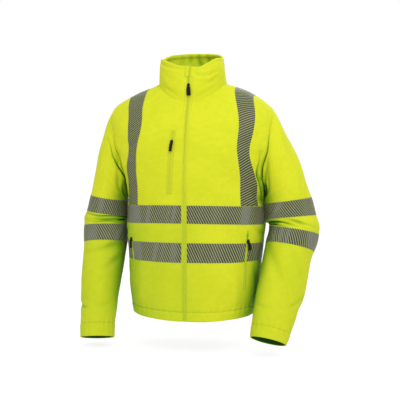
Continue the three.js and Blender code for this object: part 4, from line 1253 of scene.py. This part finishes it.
# Where the vertical tapes' edges run, by height: distance from the middle. Waviness as in the photograph.
braceEdges = {
    "front_left": [(-400, 148, 188), (-341, 148, 188), (-300, 147.5, 188), (-262, 148.5, 186), (-236, 147, 182),
                   (-205, 144, 176), (-178, 142, 177), (-150, 144, 182), (-110, 146, 188), (-68, 139, 187),
                   (-30, 128, 177), (60, 122, 171)],
    "front_right": [(-400, 140, 182), (-341, 140, 182), (-300, 139, 181), (-262, 141, 180), (-236, 143, 178),
                    (-205, 142, 171), (-178, 140, 170), (-150, 134, 168), (-115, 127, 168), (-82, 128, 169),
                    (-60, 129, 173), (-30, 128, 177), (60, 122, 171)],
    "back": [(-400, 145, 185), (-210, 144, 186), (-134, 142, 187), (-68, 135, 183), (-30, 128, 177), (60, 122, 171)],
}


def braceGrid(edges, behind, columns=26, rows=140):
    table = np.array(edges, float)
    inner, outer = spline(table[:, 0], table[:, 1]), spline(table[:, 0], table[:, 2])
    share = np.linspace(0, 1, columns)[None, :]
    xAt = lambda z: inner(z) + (outer(z) - inner(z)) * share
    top = np.full(share.shape, -30.0)
    for _ in range(30):
        target = xAt(top)
        low = np.full(share.shape, garment["shoulderTipLevel"])
        high = np.full(share.shape, garment["neckLevel"])
        for _ in range(24):
            middle = (low + high) / 2
            wider = torso["side"](middle) > target
            low, high = np.where(wider, middle, low), np.where(wider, high, middle)
        top = (low + high) / 2
    start = garment["upperBandTop"] + 1.0
    level = start + (top - 0.03 - start) * (1 - (1 - np.linspace(0, 1, rows)[:, None]) ** 2)
    angle = angleAtX(torso, xAt(level), level)
    for _ in range(12):
        z = plainTorso(math.pi - angle if behind else angle, level)[..., 2]
        angle = 0.5 * angle + 0.5 * angleAtX(torso, xAt(z), level)
    pull = armholePull(level, garment["armholeBackAngle" if behind else "armholeFrontAngle"])
    angle = np.minimum(angle, math.pi / 2 - pull - 0.35 / torso["side"](level))
    lastTurn = math.pi / 2 - 0.0025 - angle[-1:]              # the last few rows run on to the shoulder seam
    angle = np.concatenate([angle, angle[-1:] + lastTurn * np.linspace(0.2, 1, 5)[:, None]])
    level = np.concatenate([level, np.repeat(level[-1:], 5, 0)])
    return (math.pi - angle if behind else angle), level, share


def addBraces():
    for entry in sides:
        for half in ("front", "back"):
            behind = half == "back"
            edges = braceEdges["back"] if behind else braceEdges["front_" + entry["name"]]
            angle, level, share = braceGrid(edges, behind)
            p, n, _ = torsoSkin(entry["side"] * angle, level)
            up = np.concatenate([[0], np.cumsum(np.linalg.norm(np.diff(p, axis=0), axis=-1).mean(1))])
            fromInner = (entry["side"] < 0) != behind
            across = (share if fromInner else 1 - share) * garment["tapeWidth"]
            uv = np.stack(np.broadcast_arrays(up[:, None], across), -1)
            addTape("brace_" + half + "_" + entry["name"], p, n, uv)


def addSleeveBands():
    turn = sleeveTurns()
    for entry in sides:
        for name, (top, bottom) in sleeveTapes.items():
            along = np.linspace(top, bottom, 12)[:, None]
            p, n, _ = entry["skin"](turn, along)
            closed = np.concatenate([p, p[:, :1]], 1)
            lengths = tapeLengths(closed)
            across = (bottom - along) / (bottom - top) * garment["tapeWidth"]
            uv = np.stack(np.broadcast_arrays(entry["side"] * lengths[None, :-1], across), -1)
            addTape("sleeve_" + name + "_band_" + entry["name"], p, n, uv, True, lengths[-1])


addFrontBands()
addBackBands()
addBraces()
addSleeveBands()


# Zips, stitches and loops

# One small rounded body, repeated along a path and facing as the path's own attribute says.
def pathTree(name, sizes, segments, rings, material):
    tree = bpy.data.node_groups.new(name, "GeometryNodeTree")
    tree.interface.new_socket("Path", in_out="INPUT", socket_type="NodeSocketGeometry")
    for label, value in sizes.items():
        socket = tree.interface.new_socket(label, in_out="INPUT", socket_type="NodeSocketFloat")
        socket.default_value = value
    tree.interface.new_socket("Pieces", in_out="OUTPUT", socket_type="NodeSocketGeometry")
    given = addNode(tree, "NodeGroupInput").outputs
    curve = addNode(tree, "GeometryNodeMeshToCurve", {"Mesh": given["Path"]}).outputs[0]
    evened = addNode(tree, "GeometryNodeResampleCurve", {"Curve": curve, "Length": given["Pitch"]}, mode="LENGTH")
    facing = addNode(tree, "GeometryNodeInputNamedAttribute", {"Name": "facing"}, data_type="FLOAT_VECTOR")
    tangent = addNode(tree, "GeometryNodeInputTangent")
    turned = addNode(tree, "FunctionNodeAxesToRotation", {0: facing.outputs[0], 1: tangent.outputs[0]},
                     primary_axis="Z", secondary_axis="X")
    ball = addNode(tree, "GeometryNodeMeshUVSphere", {"Segments": segments, "Rings": rings, "Radius": 0.5})
    size = addNode(tree, "ShaderNodeCombineXYZ", {"X": given["Length"], "Y": given["Width"], "Z": given["Height"]})
    placed = addNode(tree, "GeometryNodeInstanceOnPoints", {
        "Points": evened.outputs[0], "Instance": ball.outputs["Mesh"], "Rotation": turned.outputs[0],
        "Scale": size.outputs[0]})
    real = addNode(tree, "GeometryNodeRealizeInstances", {0: placed.outputs[0]})
    smooth = addNode(tree, "GeometryNodeSetShadeSmooth", {0: real.outputs[0]})
    dressed = addNode(tree, "GeometryNodeSetMaterial", {"Geometry": smooth.outputs[0], "Material": material})
    addNode(tree, "NodeGroupOutput", {0: dressed.outputs[0]})
    return tree


# Paths are pairs of points and normals, in millimetres.
def alongPaths(name, paths, tree, sizes, body, slotName):
    mesh = bpy.data.meshes.new(name + "_path")
    points = np.concatenate([p for p, _ in paths]) / 1000
    facings = np.concatenate([n for _, n in paths])
    edges, start = [], 0
    for p, _ in paths:
        edges += [(start + k, start + k + 1) for k in range(len(p) - 1)]
        start += len(p)
    mesh.from_pydata(points.tolist(), edges, [])
    attribute = mesh.attributes.new("facing", "FLOAT_VECTOR", "POINT")
    attribute.data.foreach_set("vector", facings.astype(np.float32).ravel())
    holder = bpy.data.objects.new(name + "_path", mesh)
    scene.collection.objects.link(holder)
    modifier = holder.modifiers.new("along", "NODES")
    modifier.node_group = tree
    for item in tree.interface.items_tree:
        if item.in_out == "INPUT" and item.name in sizes:
            modifier[item.identifier] = sizes[item.name]
    bpy.context.view_layer.update()
    depsgraph = bpy.context.evaluated_depsgraph_get()
    made = bpy.data.meshes.new_from_object(holder.evaluated_get(depsgraph), depsgraph=depsgraph)
    made.name = name
    holder.modifiers.remove(modifier)
    bpy.data.objects.remove(holder)
    piece = bpy.data.objects.new(name, made)
    scene.collection.objects.link(piece)
    return finishPiece(piece, body, slotName)


stitchSizes = {"Pitch": 0.0034, "Length": 0.0027, "Width": 0.0006, "Height": 0.00055}
coilSizes = {"Pitch": 0.0016, "Length": 0.0014, "Width": 0.0025, "Height": 0.0012}
stitchTree = pathTree("stitches", stitchSizes, 6, 4, materials["thread"])
coilTree = pathTree("zip_coil", coilSizes, 8, 5, materials["nylon"])


def lifted(skin, u, v, lift):
    p, n, _ = skin(u, v)
    return p + n * lift, n


def dense(*values, count=120):
    return [np.interp(np.linspace(0, 1, count), np.linspace(0, 1, len(v)), v) for v in values]


def addStitches():
    paths = []
    hemStitch = garment["hemLevel"] + needlework["hemStitchRise"]
    for entry in sides:
        start = angleAtX(torso, garment["zipHalfOpening"] + 1.0, np.array(hemStitch))
        angle = np.linspace(start, math.pi / 2 - 0.004, 90) * entry["side"]
        paths.append(lifted(torsoSkin, angle, np.full(90, hemStitch), 0.15))
    angle = np.linspace(math.pi / 2 + 0.004, 3 * math.pi / 2 - 0.004, 170)
    paths.append(lifted(torsoSkin, angle, np.full(170, hemStitch), 0.15))
    for entry in sides:
        turn = np.linspace(0.02, 2 * math.pi - 0.02, 110)
        along = np.full(110, sleeveLength - needlework["cuffStitchRise"])
        paths.append(lifted(entry["skin"], turn, along, 0.15))
    for entry in sides:
        level = np.linspace(garment["hemLevel"] + 2, garment["neckLevel"] - 2, 240)
        x = garment["zipHalfOpening"] + 3.4
        for low, high in ((-645, -492), (-440, -392), (-340, 4)):
            part = level[(level > low) & (level < high)]
            angle = entry["side"] * angleAtX(torso, x, part)
            paths.append(lifted(torsoSkin, angle, part, 0.1))
        level = np.linspace(0.03, 0.92, 60)
        angle = entry["side"] * angleAtX(collar, x + parting(level), level)
        paths.append(lifted(collarSkin, angle, level, 0.1))
    level = np.full(260, 0.93)
    start = angleAtX(collar, garment["zipHalfOpening"] + 4 + parting(np.array(0.93)), np.array(0.93))
    angle = np.linspace(start, 2 * math.pi - start, 260)
    paths.append(lifted(collarSkin, angle, level, 0.1))
    return alongPaths("stitching", paths, stitchTree, stitchSizes, "jacket", "softshell")


addStitches()

# The front zip: a narrow tape on each side with its coil along the middle.
mainZip = {"tapeStart": 0.1, "tapeEnd": 7.0, "tapeDrop": 0.5, "tapeThickness": 0.8, "coilMiddle": 1.2, "coilDrop": 0.45}


def zipStops():
    torsoPart = levels[levels < garment["neckLevel"] - 0.5]
    return torsoPart, np.linspace(0.0, 1.0, 26)


def mainZipPoint(side, x, drop):
    torsoPart, collarPart = zipStops()
    angle = side * angleAtX(torso, x, torsoPart)
    p, n, _ = torsoSkin(angle, torsoPart)
    angle = side * angleAtX(collar, x + parting(collarPart), collarPart)
    q, m, _ = collarSkin(angle, collarPart)
    p, n = np.concatenate([p, q]), np.concatenate([n, m])
    return p - n * drop, n


# Painted shade for zip tapes: a given openness, less towards the bottom, and darker on the inside.
def zipShade(p, most=0.9):
    low = smoothStep(-shadeValues["lowStart"], -shadeValues["lowEnd"], -p[..., 2])
    value = most - shadeValues["lowDown"] * low
    return value, value * 0.6


def addMainZip():
    for entry in sides:
        columns = np.linspace(mainZip["tapeStart"], mainZip["tapeEnd"], 6)
        made = [mainZipPoint(entry["side"], x, mainZip["tapeDrop"]) for x in columns]
        p, n = np.stack([m[0] for m in made], 1), np.stack([m[1] for m in made], 1)
        up = np.concatenate([[0], np.cumsum(np.linalg.norm(np.diff(p[:, 0], axis=0), axis=-1))])
        uv = np.stack(np.broadcast_arrays(columns[None, :], up[:, None]), -1)
        name = "main_zip_" + entry["name"]
        piece = shellMesh("zip_tape_" + entry["name"], p, n, 0.0, mainZip["tapeThickness"], uv, ["zipTape"],
                          shade=zipShade(p))
        finishPiece(piece, "jacket", "zip", name)
        path, facing = mainZipPoint(entry["side"], mainZip["coilMiddle"], mainZip["coilDrop"])
        if entry["side"] < 0:
            shift = (path[1] - path[0]) / np.linalg.norm(path[1] - path[0]) * 0.8
            path = path + shift
        alongPaths("zip_coil_" + entry["name"], [(path, facing)], coilTree, coilSizes, "jacket", "zip")


addMainZip()

# The zip's guard at the chin: a folded tab of cloth, sewn on the wearer's right, over the zip's top end.
guardValues = {"inner": 1.4, "outer": -10.5, "bottom": 0.69, "lift": 1.7, "thickness": 1.5, "inset": 1.8}


def guardPoint(x, level, lift):
    shifted = x - parting(level) * 0.5
    angle = angleAtX(collar, shifted, level)
    p, n, _ = collarSkin(angle, level)
    return p + n * lift, n


def addChinGuard():
    rows = np.linspace(0, 1, 22)
    inner, outer, bottom = guardValues["inner"], guardValues["outer"], guardValues["bottom"]
    columns = np.linspace(0, 1, 12)
    x = inner + (outer - inner) * columns[None, :]
    arch = np.sqrt(np.maximum(0, 1 - (2 * columns - 1) ** 2))
    start = bottom + 0.09 * (1 - arch)
    level = start[None, :] + (0.995 - start)[None, :] * rows[:, None]
    x = np.broadcast_to(x, level.shape)
    p, n = guardPoint(x, level, guardValues["lift"])
    uv = np.stack([x, level * 100], -1)
    # Painted shade: the guard's outside is painted a little shaded, its inside darker.
    piece = shellMesh("chin_guard", p, n, 0.0, guardValues["thickness"], uv, ["softshell"],
                      shade=(np.full(x.shape, 0.86), np.full(x.shape, 0.5)))
    finishPiece(piece, "jacket", "softshell")
    inset = guardValues["inset"]
    share = np.linspace(0, 1, 60)
    side = inset / (inner - outer)
    edge = np.interp(share, [0, 0.4, 0.6, 1], [side, side, 1 - side, 1 - side])
    lowEdge = bottom + 0.09 * (1 - np.sqrt(np.maximum(0, 1 - (2 * edge - 1) ** 2))) + inset / 52
    level = np.where(share < 0.4, 0.985 + (lowEdge - 0.985) * share / 0.4,
                     np.where(share > 0.6, lowEdge + (0.985 - lowEdge) * (share - 0.6) / 0.4, lowEdge))
    path = guardPoint(inner + (outer - inner) * edge, level, guardValues["lift"] + 0.1)
    alongPaths("guard_stitches", [path], stitchTree, stitchSizes, "jacket", "softshell")
    return piece


chinGuard = addChinGuard()

# The chest pocket's zip and the hand pockets' zips, each a tape strip with two rows of coil, and stitches beside it.
chestZip = {"topX": -34.0, "bottomX": -43.0, "top": -131.0, "bottom": -303.0, "halfWidth": 6.0,
            "garageTop": -118.0, "stitchAside": 7.6}
handZip = {"top": -430.0, "bottom": -566.0, "start": 0.577, "end": 0.611}
pocketCoil = {"Pitch": 0.0015, "Length": 0.0013, "Width": 0.0021, "Height": 0.0011}


def torsoPlaceAt(x, z):
    x, z = np.broadcast_arrays(np.asarray(x, float), np.asarray(z, float))
    low = np.full(x.shape, -645.0)
    high = np.full(x.shape, garment["neckLevel"])
    for _ in range(34):
        middle = (low + high) / 2
        under = foldedTorso(angleAtX(torso, x, middle), middle)[..., 2] < z
        low, high = np.where(under, middle, low), np.where(under, high, middle)
    return angleAtX(torso, low * 0 + x, low), low


def addStrip(name, node, p, n, uv, lift, most):
    piece = shellMesh(name, p, n, lift, 0.7, uv, ["zipTape"], shade=zipShade(p, most))
    return finishPiece(piece, "jacket", "zip", node)


def coilRows(name, p, n, lift, gap):
    across = unit(p[:, -1] - p[:, 0])
    centre = (p[:, 0] + p[:, -1]) / 2
    facing = unit(n[:, n.shape[1] // 2])
    shift = unit(p[1, 0] - p[0, 0]) * pocketCoil["Pitch"] * 500
    left = centre - across * gap + facing * lift
    right = centre + across * gap + facing * lift + shift
    alongPaths(name, [(left, facing), (right, facing)], coilTree, pocketCoil, "jacket", "zip")


def addChestZip():
    z = np.linspace(chestZip["bottom"], chestZip["top"], 60)
    share = (z - chestZip["bottom"]) / (chestZip["top"] - chestZip["bottom"])
    middle = chestZip["bottomX"] + (chestZip["topX"] - chestZip["bottomX"]) * share
    offsets = np.linspace(-chestZip["halfWidth"], chestZip["halfWidth"], 7)
    angle, level = torsoPlaceAt(middle[:, None] + offsets[None, :], z[:, None])
    p, n, _ = torsoSkin(angle, level)
    uv = np.stack(np.broadcast_arrays(offsets[None, :], z[:, None]), -1)
    addStrip("chest_zip_tape", "chest_zip", p, n, uv, 0.75, 0.9)
    coilRows("chest_zip_coil", p, n, 0.75, 0.95)
    aside = chestZip["stitchAside"]
    corners = [(-aside, chestZip["bottom"] - 2), (-aside, chestZip["garageTop"]), (aside, chestZip["garageTop"]),
               (aside, chestZip["bottom"] - 2), (-aside, chestZip["bottom"] - 2)]
    xs, zs = dense([c[0] for c in corners], [c[1] for c in corners], count=240)
    lean = (chestZip["topX"] - chestZip["bottomX"]) / (chestZip["top"] - chestZip["bottom"])
    centreX = chestZip["bottomX"] + lean * (zs - chestZip["bottom"])
    angle, level = torsoPlaceAt(centreX + xs, zs)
    box = lifted(torsoSkin, angle, level, 0.15)
    bar = np.linspace(-aside, aside, 12)
    barZ = np.full(12, chestZip["top"] - 4)
    centreX = chestZip["bottomX"] + lean * (barZ - chestZip["bottom"])
    angle, level = torsoPlaceAt(centreX + bar, barZ)
    alongPaths("chest_stitches", [box, lifted(torsoSkin, angle, level, 0.9)], stitchTree, stitchSizes, "jacket",
               "softshell")


def addHandZips():
    for entry in sides:
        rows = np.linspace(handZip["bottom"], handZip["top"], 56)
        gap = garment["seamGap"] / torso["side"](rows)
        shares = np.linspace(handZip["start"], handZip["end"], 6)
        angle = frontAngles(entry["side"], rows, 0 * rows, gap, shares)
        level = np.broadcast_to(rows[:, None], angle.shape)
        p, n, _ = torsoSkin(angle, level)
        width = np.linalg.norm(p[0, -1] - p[0, 0])
        uv = np.stack(np.broadcast_arrays(np.linspace(0, width, 6)[None, :], rows[:, None]), -1)
        # painted shade: the strip on the wearer's right is painted darker than the left
        addStrip("pocket_zip_tape_" + entry["name"], "pocket_zip_" + entry["name"], p, n, uv, 0.35,
                 0.76 if entry["side"] < 0 else 0.82)
        coilRows("pocket_zip_coil_" + entry["name"], p, n, 0.35, 0.95)
        paths = []
        for share in (handZip["start"] - 0.008, handZip["end"] + 0.008):
            for low, high in ((-572, -492), (-440, -400)):
                part = np.linspace(low, high, 40)
                angle = frontAngles(entry["side"], part, 0 * part, 0 * part, np.array([share]))[:, 0]
                paths.append(lifted(torsoSkin, angle, part, 0.12))
        alongPaths("pocket_stitches_" + entry["name"], paths, stitchTree, stitchSizes, "jacket", "softshell")


addChestZip()
addHandZips()
print("zips and stitches made")

# The folded loops of webbing in the side seams.
sideLoops = {"left": (1, -592.0, -621.0), "right": (-1, -563.0, -592.0), "reach": 8.4, "halfThickness": 0.6}


def addSideLoops():
    for name in ("left", "right"):
        side, top, bottom = sideLoops[name]
        rows = np.linspace(bottom, top, 16)
        p, n, _ = torsoSkin(np.full(16, side * math.pi / 2), rows)
        across = unit(np.cross(n, np.array([0, 0, 1.0])))
        profile = []
        for turn in np.linspace(-90, 90, 9):
            out = math.cos(math.radians(turn)) ** 0.5 if abs(turn) < 90 else 0.0
            profile.append((math.sin(math.radians(turn)) * sideLoops["halfThickness"], out * sideLoops["reach"]))
        grid = np.stack([p + across * a + n * (b - 0.6) for a, b in profile], 1)
        facing = []
        for k in range(len(profile)):
            before, after = grid[:, max(0, k - 1)], grid[:, min(len(profile) - 1, k + 1)]
            facing.append(unit(np.cross(after - before, np.array([0, 0, 1.0]))))
        facing = np.stack(facing, 1)
        if (facing[8, 4] * n[8]).sum() < 0:
            facing = -facing
        run = np.concatenate([[0], np.cumsum([math.dist(a, b) for a, b in zip(profile[:-1], profile[1:])])])
        uv = np.stack(np.broadcast_arrays(run[None, :], rows[:, None]), -1)
        piece = shellMesh("loop_" + name, grid, facing, 0.0, 0.35, uv, ["webbing"])
        finishPiece(piece, "jacket", "tab", "side_tab_" + name)


addSideLoops()

for name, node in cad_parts.items():
    if name.endswith("_slider") or name.endswith("_pull"):
        node.data.materials.clear()
        node.data.materials.append(materials["enamel" if name.endswith("_slider") else "pull"])


# Studio

cameraValues = {"target": (0.0132, 0.0028, -0.328), "azimuth": 12.0, "elevation": 3.0, "distance": 2.5, "lens": 78.12}


def addCamera():
    a, e = math.radians(cameraValues["azimuth"]), math.radians(cameraValues["elevation"])
    back = Vector((math.sin(a) * math.cos(e), -math.cos(a) * math.cos(e), math.sin(e)))
    data = bpy.data.cameras.new("camera")
    data.sensor_width = 36
    data.lens = cameraValues["lens"]
    data.dof.use_dof = False
    camera = bpy.data.objects.new("camera", data)
    scene.collection.objects.link(camera)
    camera.location = Vector(cameraValues["target"]) + back * cameraValues["distance"]
    camera.rotation_mode = "QUATERNION"
    camera.rotation_quaternion = (-back).to_track_quat("-Z", "Y")
    scene.camera = camera


studio = {
    "world": 1.0,
    "lights": [
        ("key", (0.8, -1.7, 1.3), 1.6, 29.0),
        ("fill", (-2.2, -2.4, 0.6), 2.4, 5.0),
        ("rear", (0.5, 1.9, 1.3), 1.8, 24.0),
    ],
}


def addLights():
    world = bpy.data.worlds.new("studio")
    world.use_nodes = True
    world.node_tree.nodes["Background"].inputs[0].default_value = (1, 1, 1, 1)
    world.node_tree.nodes["Background"].inputs[1].default_value = studio["world"]
    scene.world = world
    for name, place, size, power in studio["lights"]:
        data = bpy.data.lights.new(name, "AREA")
        data.size = size
        data.energy = power
        light = bpy.data.objects.new(name, data)
        scene.collection.objects.link(light)
        light.location = place
        light.rotation_mode = "QUATERNION"
        light.rotation_quaternion = (Vector((0, 0, -0.32)) - Vector(place)).to_track_quat("-Z", "Y")


def addFloor():
    mesh = bpy.data.meshes.new("floor")
    reach, level = 14.0, cadBounds[0][2] - 0.012
    mesh.from_pydata([(-reach, -reach, level), (reach, -reach, level), (reach, reach, level), (-reach, reach, level)],
                     [], [(0, 1, 2, 3)])
    mesh.materials.append(materials["floor"])
    floor = bpy.data.objects.new("floor", mesh)
    scene.collection.objects.link(floor)


addCamera()
addLights()
addFloor()
scene.view_settings.view_transform = "Standard"
print("studio ready")
